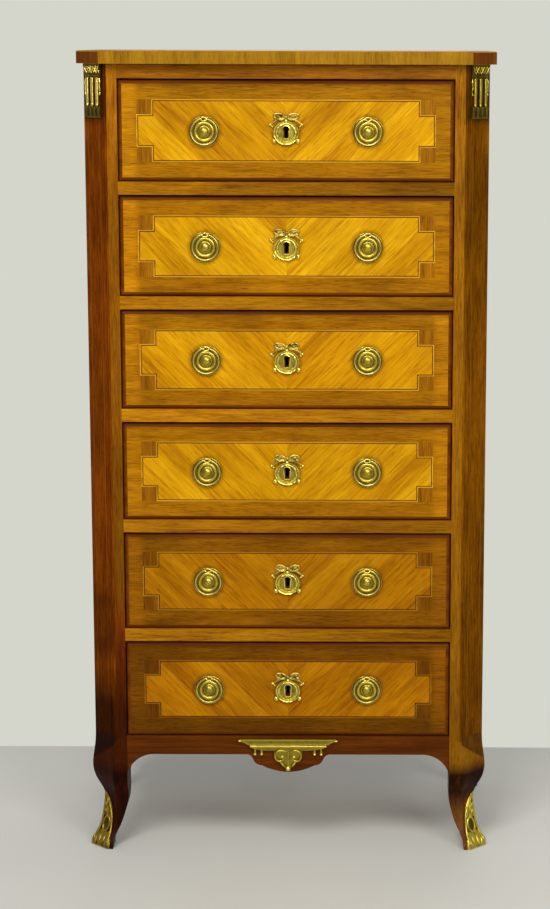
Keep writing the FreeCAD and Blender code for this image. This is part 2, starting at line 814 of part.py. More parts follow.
def make_nut():
    """Nut on the stud of a pull, against the back of the drawer front."""
    blank = doc.addObject("Part::Prism", "pull_nut_blank")
    blank.Polygon = NUT_SIDES
    bind(blank, Circumradius="nut_radius", Height="nut_thick")
    turn(blank, (1, 0, 0), -QUARTER_TURN)
    bore = rod("pull_nut_bore", "stud_radius + stud_clear", "nut_thick + 2 * overrun", ("0", "-overrun", "0"), "y")
    return cut("pull_nut", blank, bore)


def make_escutcheon(keyhole):
    """Escutcheon: a plate under a ribbon bow, a wreath and a boss round the keyhole."""
    body = new_body("escutcheon_plate")
    sketch = new_sketch(body, "escutcheon_outline", "XZ_Plane", "-(face)")
    foot = "keyhole_level + escutcheon_rise - escutcheon_height / 2"
    right = [
        (f"{across} * escutcheon_width / 2", f"{foot} + {up} * escutcheon_height")
        for across, up in ESCUTCHEON_OUTLINE_SHARES
    ]
    left = [(f"-({across})", up) for across, up in reversed(right)]
    notch = ("0", f"{foot} + {ESCUTCHEON_NOTCH_SHARE} * escutcheon_height")
    outline(sketch, [notch] + right + [("0", foot)] + left)
    pad(body, sketch, "escutcheon_thick")
    wreath = hoop("escutcheon_wreath", "wreath_radius", "wreath_wire", ("0", "face", "keyhole_level"))
    behind = block("escutcheon_behind", ("-escutcheon_width", "face", "0"),
                   ("escutcheon_width", "face + front_thick", "opening_height"))
    boss = rod("escutcheon_boss", "boss_radius", "boss_height", ("0", "face - boss_height", "keyhole_level"), "y")
    raised = cut("escutcheon_raised", fuse("escutcheon_whole", body, wreath, boss), behind)
    return cut("escutcheon", raised, keyhole)


def make_plates(plate, nut, escutcheon):
    """Plates of both pulls, their nuts and the escutcheon of one drawer."""
    pieces = [escutcheon]
    for hand, sign in (("left", "-"), ("right", "")):
        across = f"{sign}pull_spacing / 2"
        pieces.append(placed(f"plate_{hand}", plate, across, "face", "pull_level"))
        pieces.append(placed(f"nut_{hand}", nut, across, "front_inner", "pull_level"))
    return group("plates", pieces)


def make_corner_mount():
    """Mount for a canted corner: capital, three rods and three drops."""
    half = "mount_width / 2"
    plate = block("corner_plate", (f"-{half}", "-mount_plate", "rod_low"), (half, "0", "mount_height"))
    capital = block("corner_capital", (f"-{half}", "-capital_depth", "capital_low"), (half, "0", "mount_height"))
    pieces = [plate, capital]
    for place in (-1, 0, 1):
        across = f"{place} * rod_spacing"
        pieces.append(rod(f"corner_rod_{place + 1}", "rod_radius", "rod_length + capital_height / 2",
                          (across, "-mount_plate", "rod_low")))
        drop = doc.addObject("Part::Cone", f"corner_drop_{place + 1}")
        bind(drop, Radius1="gutta_radius", Radius2="gutta_point", Height="gutta_height")
        move(drop, across, "-mount_plate", "rod_low - gutta_height")
        pieces.append(drop)
    behind = block("corner_behind", ("-mount_width", "0", "-mount_height"), ("mount_width", "cant", "2 * mount_height"))
    return cut("corner_mount", fuse("corner_mount_whole", *pieces), behind)


def make_apron_mount():
    """Mount on the apron: a stepped ledge with drops and a leaf below."""
    ledge = block("mount_ledge", ("-ledge_width / 2", "front - ledge_depth", "tier_top"),
                  ("ledge_width / 2", "front", "ledge_top"))
    tier = block("mount_tier", ("-tier_width / 2", "front - tier_depth", "leaf_top"),
                 ("tier_width / 2", "front", "tier_top"))
    body = new_body("mount_leaf")
    sketch = new_sketch(body, "leaf_outline", "XZ_Plane", "-front")
    right = [
        (f"{across} * leaf_width / 2", f"leaf_top - {down} * leaf_height")
        for across, down in LEAF_OUTLINE_SHARES
    ]
    left = [(f"-({across})", down) for across, down in reversed(right)]
    outline(sketch, right + [("0", "leaf_top - leaf_height")] + left)
    pad(body, sketch, "leaf_depth")
    drops = [
        rod(f"mount_drop_{sign}{place}", "drop_gutta_radius", "drop_gutta_height",
            (f"{sign}{place}", "front - drop_gutta_radius", "leaf_top - drop_gutta_height"))
        for sign in ("", "-") for place in ("drop_gutta_inner", "drop_gutta_outer")
    ]
    return fuse("apron_mount", ledge, tier, body, *drops)


def make_sabot():
    """Right sabot: a shell over the outer faces of a front foot."""
    body = new_body("sabot_shell")
    leg_loft(body, "sabot_outside", "PartDesign::AdditiveLoft", "(sabot_gap + sabot_thick)")
    leg_loft(body, "sabot_inside", "PartDesign::SubtractiveLoft", "sabot_gap")
    reach = "foot_kick + sabot_thick + overrun"
    near = "half_body - cant - sabot_lap"
    far = "front + cant + sabot_lap"
    wrap = block("sabot_wrap", (near, f"front - ({reach})", "0"), (f"half_body + {reach}", far, "sabot_height"))
    shell = doc.addObject("Part::Common", "sabot")
    shell.Base = body
    shell.Tool = wrap
    return shell


def pair(name, right):
    """A piece and its mirror image under one name."""
    return group(name, [right, mirrored(name + "_left", right)])


nodes = {}


def keep(name, item):
    """Put a finished sub-part on the list of files."""
    item.Label = name
    nodes[name] = item


def build_carcass():
    """Everything that stands still."""
    keep("top_board", make_top())
    front_post = make_front_post()
    keep("front_right_post", front_post)
    keep("front_left_post", mirrored("front_left_post", front_post))
    rear_post = make_rear_post()
    keep("rear_right_post", rear_post)
    keep("rear_left_post", mirrored("rear_left_post", rear_post))
    panel = make_side_panel()
    keep("right_side_panel", panel)
    keep("left_side_panel", mirrored("left_side_panel", panel))
    boards, rear_rails = make_back()
    keep("back_boards", boards)
    keep("rear_rails", rear_rails)
    keep("bottom_board", make_bottom())
    keep("frieze_rail", make_rail("frieze_rail", "carcass_top - frieze_height", "carcass_top"))
    rails = [
        make_rail(f"drawer_rail_{number}", f"{opening_floor(number)} - rail_height", opening_floor(number))
        for number in range(1, DRAWERS)
    ]
    keep("drawer_rails", group("drawer_rails", rails))
    keep("apron_rail", make_apron())
    keep("drawer_runners", make_runners())
    keep("drawer_stops", make_stops())
    mount = make_corner_mount()
    top = "carcass_top - mount_height"
    corner = [
        placed(f"corner_mount_{hand}", mount, f"{sign}(half_body - cant / 2)", "front + cant / 2", top, angle)
        for hand, sign, angle in (("left", "-", -DIAGONAL_TURN), ("right", "", DIAGONAL_TURN))
    ]
    keep("corner_mounts", group("corner_mounts", corner))
    keep("apron_mount", make_apron_mount())
    keep("sabots", pair("sabots", make_sabot()))


def build_drawers():
    """Six drawers alike, each with its box, lock, bolt, plates and rings."""
    side = make_drawer_side()
    keyhole = make_keyhole()
    masters = {
        "front": make_drawer_front(side, keyhole),
        "box": make_drawer_box(side),
        "lock": make_lock(keyhole),
        "plates": make_plates(make_pull_plate(), make_nut(), make_escutcheon(keyhole)),
        "lock_bolt": block(
            "lock_bolt",
            ("-bolt_width / 2", "lock_middle - bolt_thick / 2", "front_top - bolt_sink - bolt_height"),
            ("bolt_width / 2", "lock_middle + bolt_thick / 2", "front_top - bolt_sink")),
    }
    for number in range(1, DRAWERS + 1):
        floor = opening_floor(number)
        for word, master in masters.items():
            name = f"drawer_{number}_{word}"
            keep(name, placed(name, master, z=floor))
        for hand, sign in (("left", "-"), ("right", "")):
            name = f"drawer_{number}_{hand}_ring"
            place = (f"{sign}pull_spacing / 2", "face - ring_rise", f"{floor} + pull_level")
            keep(name, hoop(name, "ring_radius", "ring_wire", place))


build_carcass()
build_drawers()
doc.recompute()

faults = [item.Label for item in doc.Objects if {"Invalid", "Error"} & set(item.State)]
faults += [name for name, item in nodes.items() if item.Shape.isNull() or not item.Shape.isValid()]
if faults:
    raise RuntimeError("these pieces failed: " + ", ".join(faults))

os.makedirs("parts", exist_ok=True)
for name, item in nodes.items():
    solids = item.Shape.Solids
    shape = solids[0] if len(solids) == 1 else Part.Compound(solids)
    shape.exportStep(f"parts/{name}.step")
print(len(nodes), "files,", sum(len(item.Shape.Solids) for item in nodes.values()), "solids")
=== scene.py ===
"""Looks of a tall chest of six drawers: marquetry veneers, gilt mounts and plain oak inside.

Sizes are millimetres in the classes of the chest and metres in the studio. Meshes are metres, and
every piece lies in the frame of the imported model: X to the right, Y to the back, Z up.
"""

import logging
import math
from dataclasses import dataclass, field, replace
from enum import Enum
from functools import cache, reduce
from typing import Callable, Iterator, Sequence

import bmesh
import bpy
import numpy as np
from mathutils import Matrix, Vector


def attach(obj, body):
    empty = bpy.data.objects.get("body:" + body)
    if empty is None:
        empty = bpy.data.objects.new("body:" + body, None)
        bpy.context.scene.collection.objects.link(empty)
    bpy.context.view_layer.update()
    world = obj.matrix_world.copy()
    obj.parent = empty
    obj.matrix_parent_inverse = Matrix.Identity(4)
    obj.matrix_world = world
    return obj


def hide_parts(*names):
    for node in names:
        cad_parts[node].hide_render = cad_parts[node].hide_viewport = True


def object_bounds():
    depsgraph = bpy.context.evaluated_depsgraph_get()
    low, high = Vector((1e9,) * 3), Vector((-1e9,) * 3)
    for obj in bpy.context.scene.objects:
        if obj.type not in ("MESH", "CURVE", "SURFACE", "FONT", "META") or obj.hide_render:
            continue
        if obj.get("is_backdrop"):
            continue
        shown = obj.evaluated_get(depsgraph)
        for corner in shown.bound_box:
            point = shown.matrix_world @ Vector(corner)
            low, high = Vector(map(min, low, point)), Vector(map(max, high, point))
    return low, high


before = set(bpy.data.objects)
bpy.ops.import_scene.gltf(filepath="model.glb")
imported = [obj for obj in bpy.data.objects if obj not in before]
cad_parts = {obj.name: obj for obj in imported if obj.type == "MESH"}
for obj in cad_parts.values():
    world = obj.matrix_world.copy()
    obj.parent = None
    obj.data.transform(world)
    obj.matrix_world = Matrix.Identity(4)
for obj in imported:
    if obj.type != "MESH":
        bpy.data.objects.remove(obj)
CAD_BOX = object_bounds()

LOG = logging.getLogger("chest")
MM = 0.001
OUT = np.array([0.0, 0.0, 1.0])
ACROSS = np.array([1.0, 0.0, 0.0])
FULL_TURN = 2.0 * math.pi
ROOT_2 = math.sqrt(2.0)
X, Y, Z = range(3)
HANDS = (("left", -1), ("right", 1))
MERGE, FLAT = 1e-6, 1e-7
GROOVE_HALF = 0.3
WOOD_RELIEF, METAL_RELIEF = 0.0006, 0.0004
COAT_ROUGH = 0.2

Triple = tuple[float, float, float]
Profile = Sequence[tuple[float, float]]
Shares = tuple[float, ...]
Array = np.ndarray
Object = bpy.types.Object
Material = bpy.types.Material
Socket = bpy.types.NodeSocket
Value = float | Sequence[float] | Socket
Inputs = dict[int | str, Value]
Mask = Callable[["Nodes"], Socket]


# Layout


@dataclass(frozen=True)
class Layout:
    """Planes and levels of the carcass, in millimetres."""

    front: float = -181.0
    half_body: float = 342.0
    half_top: float = 353.0
    top_depth: float = 390.0
    cant: float = 38.0
    leg_height: float = 206.0
    opening: float = 171.5
    rail: float = 22.0
    carcass_top: float = 1369.0
    height: float = 1390.0
    drawers: int = 6

    def floor(self, number: int) -> float:
        """Level of a drawer's floor, counted from 1 at the top."""
        return self.leg_height + (self.drawers - number) * (self.opening + self.rail)


LAYOUT = Layout()


@dataclass(frozen=True)
class Tint:
    """How far one drawer's woods are off the common tone, and how much lighter its bands are at the ends."""

    field: Triple
    band: Triple
    left: float
    right: float


TINTS: dict[int, Tint] = {
    1: Tint((1.0, 1.06, 0.9), (1.05, 1.07, 0.9), 0.35, 0.0),
    2: Tint((1.0, 1.08, 1.0), (1.08, 1.06, 0.9), 0.4, 0.0),
    3: Tint((0.97, 0.98, 0.9), (1.02, 1.0, 0.9), 0.35, 0.45),
    4: Tint((0.94, 0.99, 0.9), (1.04, 1.02, 0.9), 0.15, 0.3),
    # Drawers 5 and 6 are toned darker, partly the woods' own tone and partly painted shade where the light
    # falls off towards the floor.
    5: Tint((0.70, 0.62, 0.6), (0.68, 0.61, 0.6), 0.25, 0.15),
    6: Tint((0.71, 0.61, 0.6), (0.50, 0.42, 0.4), 0.05, 0.45),
}


@dataclass(frozen=True)
class Seat:
    """Flat face that carries veneer or ornament, with its own across, up and out directions."""

    origin: Triple
    across: Triple = (1.0, 0.0, 0.0)
    up: Triple = (0.0, 0.0, 1.0)

    @classmethod
    def turned(cls, origin: Triple, degrees: float) -> "Seat":
        """Upright seat that faces the front at 0 degrees and the right at 90.

        Args:
            origin: Its middle, in millimetres.
            degrees: Turn about the vertical.

        Returns:
            The seat.
        """
        angle = math.radians(degrees)
        return cls(origin, (math.cos(angle), math.sin(angle), 0.0))

    @classmethod
    def canted(cls, side: int, half: float, front: float, cut: float, low: float = 0.0) -> "Seat":
        """Seat on the canted corner of an upright block.

        Args:
            side: -1 for the left corner and 1 for the right.
            half: Half width of the block.
            front: Its front plane.
            cut: What the cant takes off its front and side.
            low: Level that up is counted from.

        Returns:
            The seat at the middle of the cant.
        """
        return cls.turned((side * (half - cut / 2), front + cut / 2, low), 45.0 * side)

    def place(self, local: Array) -> Array:
        """Moves points from across, up and out to the chest's frame.

        Args:
            local: Points whose last axis holds across, up and out, in millimetres.

        Returns:
            The same points in the chest's frame, in millimetres.
        """
        across, up = np.array(self.across), np.array(self.up)
        basis = np.stack([across, up, np.cross(across, up)])
        return np.array(self.origin) + local @ basis


@dataclass(frozen=True)
class LegSeat:
    """Canted face of a front leg, which swells at the knee and kicks out at the foot.

    The face is a straight line carried down the leg: its middle stands at
    (reach to the side + reach to the front + 2 swell - cant) / root 2 along the diagonal.
    """

    side: int
    foot_kick: float = 8.0
    ankle_hollow: float = 16.0
    knee_swell: float = 5.2
    kick_shares: Shares = (1.0, 0.8)
    hollow_shares: Shares = (0.23, 0.69, 0.91, 1.0, 0.82, 0.33)
    swell_shares: Shares = (0.35, 1.0, 0.68, 0.15, 0.0)
    rise_shares: Shares = (0.0, 0.04, 0.12, 0.21, 0.3, 0.39, 0.47, 0.54, 0.61, 0.69, 0.8, 0.9, 1.0)
    cant_shares: Shares = (0.85, 0.8, 0.67, 0.58, 0.53, 0.53, 0.6, 0.77, 0.94, 1.02, 1.01, 1.0, 1.0)

    def stations(self) -> tuple[Array, Array]:
        """Levels up the leg, each with its swell and the width of its cant as a share.

        Returns:
            The levels, and a row of swell and share for each.
        """
        foot = self.foot_kick * np.array(self.kick_shares)
        ankle = -self.ankle_hollow * np.array(self.hollow_shares)
        knee = self.knee_swell * np.array(self.swell_shares)
        levels = np.array(self.rise_shares) * LAYOUT.leg_height
        return levels, np.stack([np.concatenate([foot, ankle, knee]), np.array(self.cant_shares)], -1)

    def place(self, local: Array) -> Array:
        """Wraps ornament round the leg: past an arris it folds back by half a right angle.

        Args:
            local: Points as across (outwards from the chest's middle), up (above the floor) and
                out, in millimetres.

        Returns:
            The points in the chest's frame, in millimetres.
        """
        aside = self.side * local[..., 0]
        levels, table = self.stations()
        found = spline(levels, table, np.clip(local[..., 1].ravel(), 0.0, levels[-1]))
        swell, share = (found[:, i].reshape(local.shape[:-1]) for i in (0, 1))
        reach = (LAYOUT.half_body - LAYOUT.front + 2.0 * swell - share * LAYOUT.cant) / ROOT_2
        half = share * LAYOUT.cant / ROOT_2
        over = np.maximum(np.abs(aside) - half, 0.0)
        across = np.sign(aside) * (np.minimum(np.abs(aside), half) + over / ROOT_2)
        across = across + self.side * (LAYOUT.half_body + LAYOUT.front) / ROOT_2
        out = reach + local[..., 2] - over / ROOT_2
        x = (across + self.side * out) / ROOT_2
        y = (self.side * across - out) / ROOT_2
        return np.stack([x, y, local[..., 1]], -1)


# Surfaces


def spline(knots: Array, values: Array, at: Array) -> Array:
    """Natural cubic spline: cubics that share slope and bend at the knots, straight at the ends.

    Args:
        knots: Rising parameters, one per row of values.
        values: Points, one row per knot.
        at: Parameters to read.

    Returns:
        One row per parameter.
    """
    step = np.diff(knots)
    slope = np.diff(values, axis=0) / step[:, None]
    system, known = np.eye(len(knots)), np.zeros_like(values)
    i = np.arange(1, len(knots) - 1)
    system[i, i - 1], system[i, i], system[i, i + 1] = step[:-1], 2 * (step[:-1] + step[1:]), step[1:]
    known[1:-1] = 6.0 * np.diff(slope, axis=0)
    bend = np.linalg.solve(system, known)
    k = np.clip(np.searchsorted(knots, at, side="right") - 1, 0, len(knots) - 2)
    t, h = (at - knots[k])[:, None], step[k][:, None]
    first = slope[k] - h * (2 * bend[k] + bend[k + 1]) / 6
    return values[k] + t * (first + t * (bend[k] / 2 + t * (bend[k + 1] - bend[k]) / (6 * h)))


def curve(points: Sequence[Sequence[float]], count: int) -> Array:
    """Smooth path through points, spaced by the length of the chords.

    Args:
        points: Points as across, up and out.
        count: Number of points on the path.

    Returns:
        Array of count rows.
    """
    given = np.array(points, float)
    knots = np.concatenate([[0.0], np.cumsum(np.linalg.norm(np.diff(given, axis=0), axis=1))])
    return spline(knots, given, np.linspace(0.0, knots[-1], count))


def oval(centre: Sequence[float], wide: float, tall: float, start: float, end: float, count: int) -> Array:
    """Part of an ellipse: (wide cos a, tall sin a) about a centre.

    Args:
        centre: Its middle.
        wide: Half width.
        tall: Half height.
        start: First angle, in degrees.
        end: Last angle.
        count: Number of points.

    Returns:
        Array of count rows.
    """
    angle = np.radians(np.linspace(start, end, count))
    flat = np.stack([wide * np.cos(angle), tall * np.sin(angle), np.zeros(count)], -1)
    return np.array(centre, float) + flat


def volute(centre: Sequence[float], radius: float, start: float, turns: float, count: int) -> Array:
    """Spiral whose radius falls evenly to a quarter while it turns.

    Args:
        centre: Middle of the spiral.
        radius: Radius at the start.
        start: Angle at the start, in degrees.
        turns: Turns, negative for clockwise.
        count: Number of points.

    Returns:
        Array of count rows.
    """
    share = np.linspace(0.0, 1.0, count)
    angle = math.radians(start) + share * turns * FULL_TURN
    reach = radius * (1.0 - 0.75 * share)
    flat = np.stack([reach * np.cos(angle), reach * np.sin(angle), np.zeros(count)], -1)
    return np.array(centre, float) + flat


def ellipse_reach(wide: float, tall: float, angle: Array) -> Array:
    """Reach of an ellipse along each angle: wide tall / root((tall cos)^2 + (wide sin)^2)."""
    return wide * tall / np.hypot(tall * np.cos(angle), wide * np.sin(angle))


def sized(values: Sequence[float], count: int) -> Array:
    """Sizes along a path, read evenly and straight between the given ones."""
    return np.interp(np.linspace(0, 1, count), np.linspace(0, 1, len(values)), values)


def sweep(
    path: Array,
    width: Sequence[float],
    height: Sequence[float],
    sides: int = 10,
    closed: bool = False,
    groove: float = 0.0,
    side: Array | None = None,
) -> Array:
    """Oval section carried along a path.

    Point(u, t) = path(u) + S w(u) cos t + L h(u) sin t, where S lies across the path in the
    face, L = S x path direction stands out of it, and a groove lowers sin t round its top.

    Args:
        path: Points as across, up and out.
        width: Half widths along the path.
        height: Half heights along the path.
        sides: Points round the section.
        closed: Whether the path is a ring; otherwise its ends are closed to a point.
        groove: Depth of a groove along the top, as a share of the height.
        side: Fixed direction of S, for a path that curls out of the face.

    Returns:
        Grid of rows along the path and columns round the section.
    """
    ahead = np.roll(path, -1, 0) - np.roll(path, 1, 0) if closed else np.gradient(path, axis=0)
    ahead = ahead / np.linalg.norm(ahead, axis=1, keepdims=True)
    across = np.cross(ahead, OUT) if side is None else np.broadcast_to(side, ahead.shape)
    across = across / np.linalg.norm(across, axis=1, keepdims=True)
    lift = np.cross(across, ahead)
    wide, tall = sized(width, len(path)), sized(height, len(path))
    if not closed:
        path, across, lift = (np.pad(a, ((1, 1), (0, 0)), mode="edge") for a in (path, across, lift))
        wide, tall = np.pad(wide, 1), np.pad(tall, 1)
    turn = np.linspace(0.0, FULL_TURN, sides, endpoint=False)
    rise = np.sin(turn) * (1.0 - groove * (np.sin(turn) > 0) * np.exp(-((np.cos(turn) / GROOVE_HALF) ** 2)))
    flat = across[:, None] * (wide[:, None] * np.cos(turn))[..., None]
    return path[:, None] + flat + lift[:, None] * (tall[:, None] * rise)[..., None]


def turned(profile: Profile, sides: int) -> Array:
    """Turning about the out direction: point = (r cos t, r sin t, out).

    Args:
        profile: Pairs of radius and out; a closed form starts and ends at radius 0.
        sides: Points round the axis.

    Returns:
        Grid of rows along the profile and columns round the axis.
    """
    radius, out = np.array(profile, float).T
    turn = np.linspace(0.0, FULL_TURN, sides, endpoint=False)
    ring = np.stack([np.cos(turn), np.sin(turn), np.zeros(sides)], -1)
    return radius[:, None, None] * ring + out[:, None, None] * OUT


def bud(centre: Sequence[float], half: Triple, tilt: float = 0.0, rows: int = 7, sides: int = 10) -> Array:
    """Ellipsoid: (a cos p cos t, b cos p sin t, c sin p), tilted in the face about its middle.

    Args:
        centre: Its middle.
        half: Half lengths along, across and out.
        tilt: Turn in the face, in degrees.
        rows: Rows from pole to pole.
        sides: Points in a row.

    Returns:
        Grid of rows and columns.
    """
    rise = np.linspace(-math.pi / 2, math.pi / 2, rows)[:, None]
    turn = np.linspace(0.0, FULL_TURN, sides, endpoint=False)[None]
    a, b = half[0] * np.cos(rise) * np.cos(turn), half[1] * np.cos(rise) * np.sin(turn)
    c = half[2] * np.sin(rise) * np.ones_like(turn)
    cos, sin = math.cos(math.radians(tilt)), math.sin(math.radians(tilt))
    return np.array(centre, float) + np.stack([a * cos - b * sin, a * sin + b * cos, c], -1)


def moulding(profile: Sequence[Triple], steps: int = 12) -> Array:
    """Straight moulding whose ends slant: point(u, v) = (u half(v), up(v), out(v)) for u from -1 to 1.

    Args:
        profile: Rows of half length, up and out round the section.
        steps: Steps along the length.

    Returns:
        Grid of rows along the length, the first and last shrunk to close the ends.
    """
    half, up, out = np.array(profile, float).T
    share = np.linspace(-1.0, 1.0, steps)[:, None]
    even = np.ones_like(share)
    grid = np.stack([share * half, even * up, even * out], -1)
    ends = [np.broadcast_to(grid[i].mean(0), grid[i].shape)[None] for i in (0, -1)]
    return np.concatenate([ends[0], grid, ends[1]])


# Meshes


def grid_faces(rows: int, columns: int, ring: bool, wrap: bool, base: int) -> Array:
    """Quads of a grid of points numbered row by row.

    Args:
        rows: Number of rows.
        columns: Number of columns.
        ring: Whether the last row joins the first.
        wrap: Whether the last column joins the first.
        base: Number of the first point.

    Returns:
        Array of quads.
    """
    index = base + np.arange(rows * columns).reshape(rows, columns)
    below = index if ring else index[:-1]
    above = np.roll(index, -1, 0) if ring else index[1:]
    here = (below, above) if wrap else (below[:, :-1], above[:, :-1])
    after = tuple(np.roll(a, -1, 1) for a in (below, above)) if wrap else (below[:, 1:], above[:, 1:])
    return np.stack([here[0], after[0], after[1], here[1]], -1).reshape(-1, 4)


def new_object(name: str, points: Array, faces: Array, material: Material) -> Object:
    """Links an object at the origin whose mesh holds the points.

    Args:
        name: Name of the piece.
        points: Points in millimetres.
        faces: Quads.
        material: Its only material.

    Returns:
        The object.
    """
    mesh = bpy.data.meshes.new(name)
    mesh.from_pydata((points.reshape(-1, 3) * MM).tolist(), [], faces.tolist())
    mesh.materials.append(material)
    made = bpy.data.objects.new(name, mesh)
    bpy.context.scene.collection.objects.link(made)
    return made


def seat_on(made: Object, body: str, replaced: Sequence[str] = ()) -> None:
    """Ties a finished piece to its body and hides the solids that it stands for.

    Args:
        made: The piece.
        body: Body that it moves with.
        replaced: Nodes that it replaces.
    """
    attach(made, body)
    if replaced:
        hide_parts(*replaced)
    LOG.info("%s on %s: %d faces", made.name, body, len(made.data.polygons))


@dataclass
class Casting:
    """Closed surfaces of one ornament, gathered on their seats and set as one mesh."""

    name: str
    sharp: float = 50.0
    points: list[Array] = field(default_factory=list)
    faces: list[Array] = field(default_factory=list)
    count: int = 0

    def add(self, seat: Seat | LegSeat, grid: Array, ring: bool = False, pair: bool = False) -> None:
        """Adds one surface that is closed round its columns.

        Args:
            seat: Where it sits.
            grid: Its points as across, up and out.
            ring: Whether its rows close too.
            pair: Whether its mirror image across the seat's middle goes in as well.
        """
        rows, columns = grid.shape[:2]
        for flip in (1.0, -1.0) if pair else (1.0,):
            self.points.append(seat.place(grid * np.array([flip, 1.0, 1.0])).reshape(-1, 3))
            self.faces.append(grid_faces(rows, columns, ring, True, self.count))
            self.count += rows * columns

    def strand(
        self,
        seat: Seat | LegSeat,
        points: Sequence[Sequence[float]],
        width: Sequence[float],
        height: Sequence[float],
        count: int,
        sides: int,
        pair: bool = False,
        **shape: float | Array,
    ) -> None:
        """Adds an oval section swept along a smooth path.

        Args:
            seat: Where it sits.
            points: Points of the path as across, up and out.
            width: Half widths along the path.
            height: Half heights along the path.
            count: Steps along the path.
            sides: Points round the section.
            pair: Whether its mirror image goes in as well.
            shape: Groove or side of the sweep.
        """
        self.add(seat, sweep(curve(points, count), width, height, sides, **shape), pair=pair)

    def cast(self, material: Material) -> Object:
        """Merges poles, turns faces outwards and smooths all but sharp edges.

        Args:
            material: Finish of the metal.

        Returns:
            The object.
        """
        made = new_object(self.name, np.concatenate(self.points), np.concatenate(self.faces), material)
        work = bmesh.new()
        work.from_mesh(made.data)
        bmesh.ops.remove_doubles(work, verts=work.verts, dist=MERGE)
        bmesh.ops.dissolve_degenerate(work, edges=work.edges, dist=FLAT)
        bmesh.ops.recalc_face_normals(work, faces=work.faces)
        work.to_mesh(made.data)
        work.free()
        made.data.shade_smooth()
        made.data.set_sharp_from_angle(angle=math.radians(self.sharp))
        return made


@dataclass(frozen=True)
class Veneer:
    """Sheet of veneer laid on a seat, its underside just inside the wood that carries it."""

    seat: Seat
    thick: float = 0.4
    sunk: float = 0.1

    def finish(self, made: Object) -> Object:
        """Gives a flat sheet its thickness, outwards from its underside.

        Args:
            made: The sheet.

        Returns:
            The same sheet.
        """
        solid = made.modifiers.new("thickness", "SOLIDIFY")
        solid.thickness, solid.offset = (self.thick + self.sunk) * MM, 1.0
        return made

    def cells(
        self,
        name: str,
        across: Sequence[float],
        up: Sequence[float],
        keep: Callable[[Array, Array], Array],
        material: Material,
    ) -> Object:
        """Sheet of the cells of a squared grid whose middles pass a test.

        Args:
            name: Name of the piece.
            across: Lines across, in any order.
            up: Lines up, in any order.
            keep: Test of the middles' across and up.
            material: Finish of the veneer.

        Returns:
            The object.
        """
        a, u = np.unique(np.round(across, 4)), np.unique(np.round(up, 4))
        wide, tall = np.meshgrid(a, u)
        local = np.stack([wide, tall, np.full(wide.shape, -self.sunk)], -1)
        middle = np.meshgrid((a[1:] + a[:-1]) / 2, (u[1:] + u[:-1]) / 2)
        quads = grid_faces(len(u), len(a), False, False, 0)[keep(*middle).ravel()]
        used, quads = np.unique(quads, return_inverse=True)
        points = self.seat.place(local).reshape(-1, 3)[used]
        return self.finish(new_object(name, points, quads.reshape(-1, 4), material))

    def sheet(self, name: str, half: float, up: Sequence[float], material: Material) -> Object:
        """Plain sheet of a half width about the seat's middle, between two levels."""
        return self.cells(name, (-half, half), up, lambda a, u: np.ones_like(a, bool), material)

    def rings(
        self,
        name: str,
        box: tuple[float, float, float, float],
        woods: dict[str, tuple[float, "Wood"]],
    ) -> Iterator[Object]:
        """Sheets laid one inside the other, each a frame round the next.

        Args:
            name: Start of their names.
            box: Left, right, low and high edge of the first.
            woods: Distance of each sheet's outer edge from the box and its wood, from the outside in.

        Returns:
            The sheets, one by one.
        """
        left, right, low, high = box
        steps = [step for step, _ in woods.values()]
        across = [line for step in steps for line in (left + step, right - step)]
        up = [line for step in steps for line in (low + step, high - step)]
        for (part, (near, wood)), far in zip(woods.items(), [*steps[1:], math.inf]):

            def keep(a: Array, u: Array) -> Array:
                """Whether points lie between the sheet's outer and inner edge."""
                inwards = np.minimum.reduce([a - left, right - a, u - low, high - u])
                return (inwards > near) & (inwards < far)

            yield self.cells(f"{name}_{part}", across, up, keep, wood.material())

    def patch(self, name: str, corners: Profile, material: Material) -> Object:
        """Sheet between four corners.

        Args:
            name: Name of the piece.
            corners: Across and up of the corners, counter-clockwise; two may coincide.
            material: Finish of the veneer.

        Returns:
            The object.
        """
        first, second, third, fourth = ((*corner, -self.sunk) for corner in corners)
        local = np.array([[first, second], [fourth, third]])
        quads = grid_faces(2, 2, False, False, 0)
        return self.finish(new_object(name, self.seat.place(local), quads, material))


# Finishes


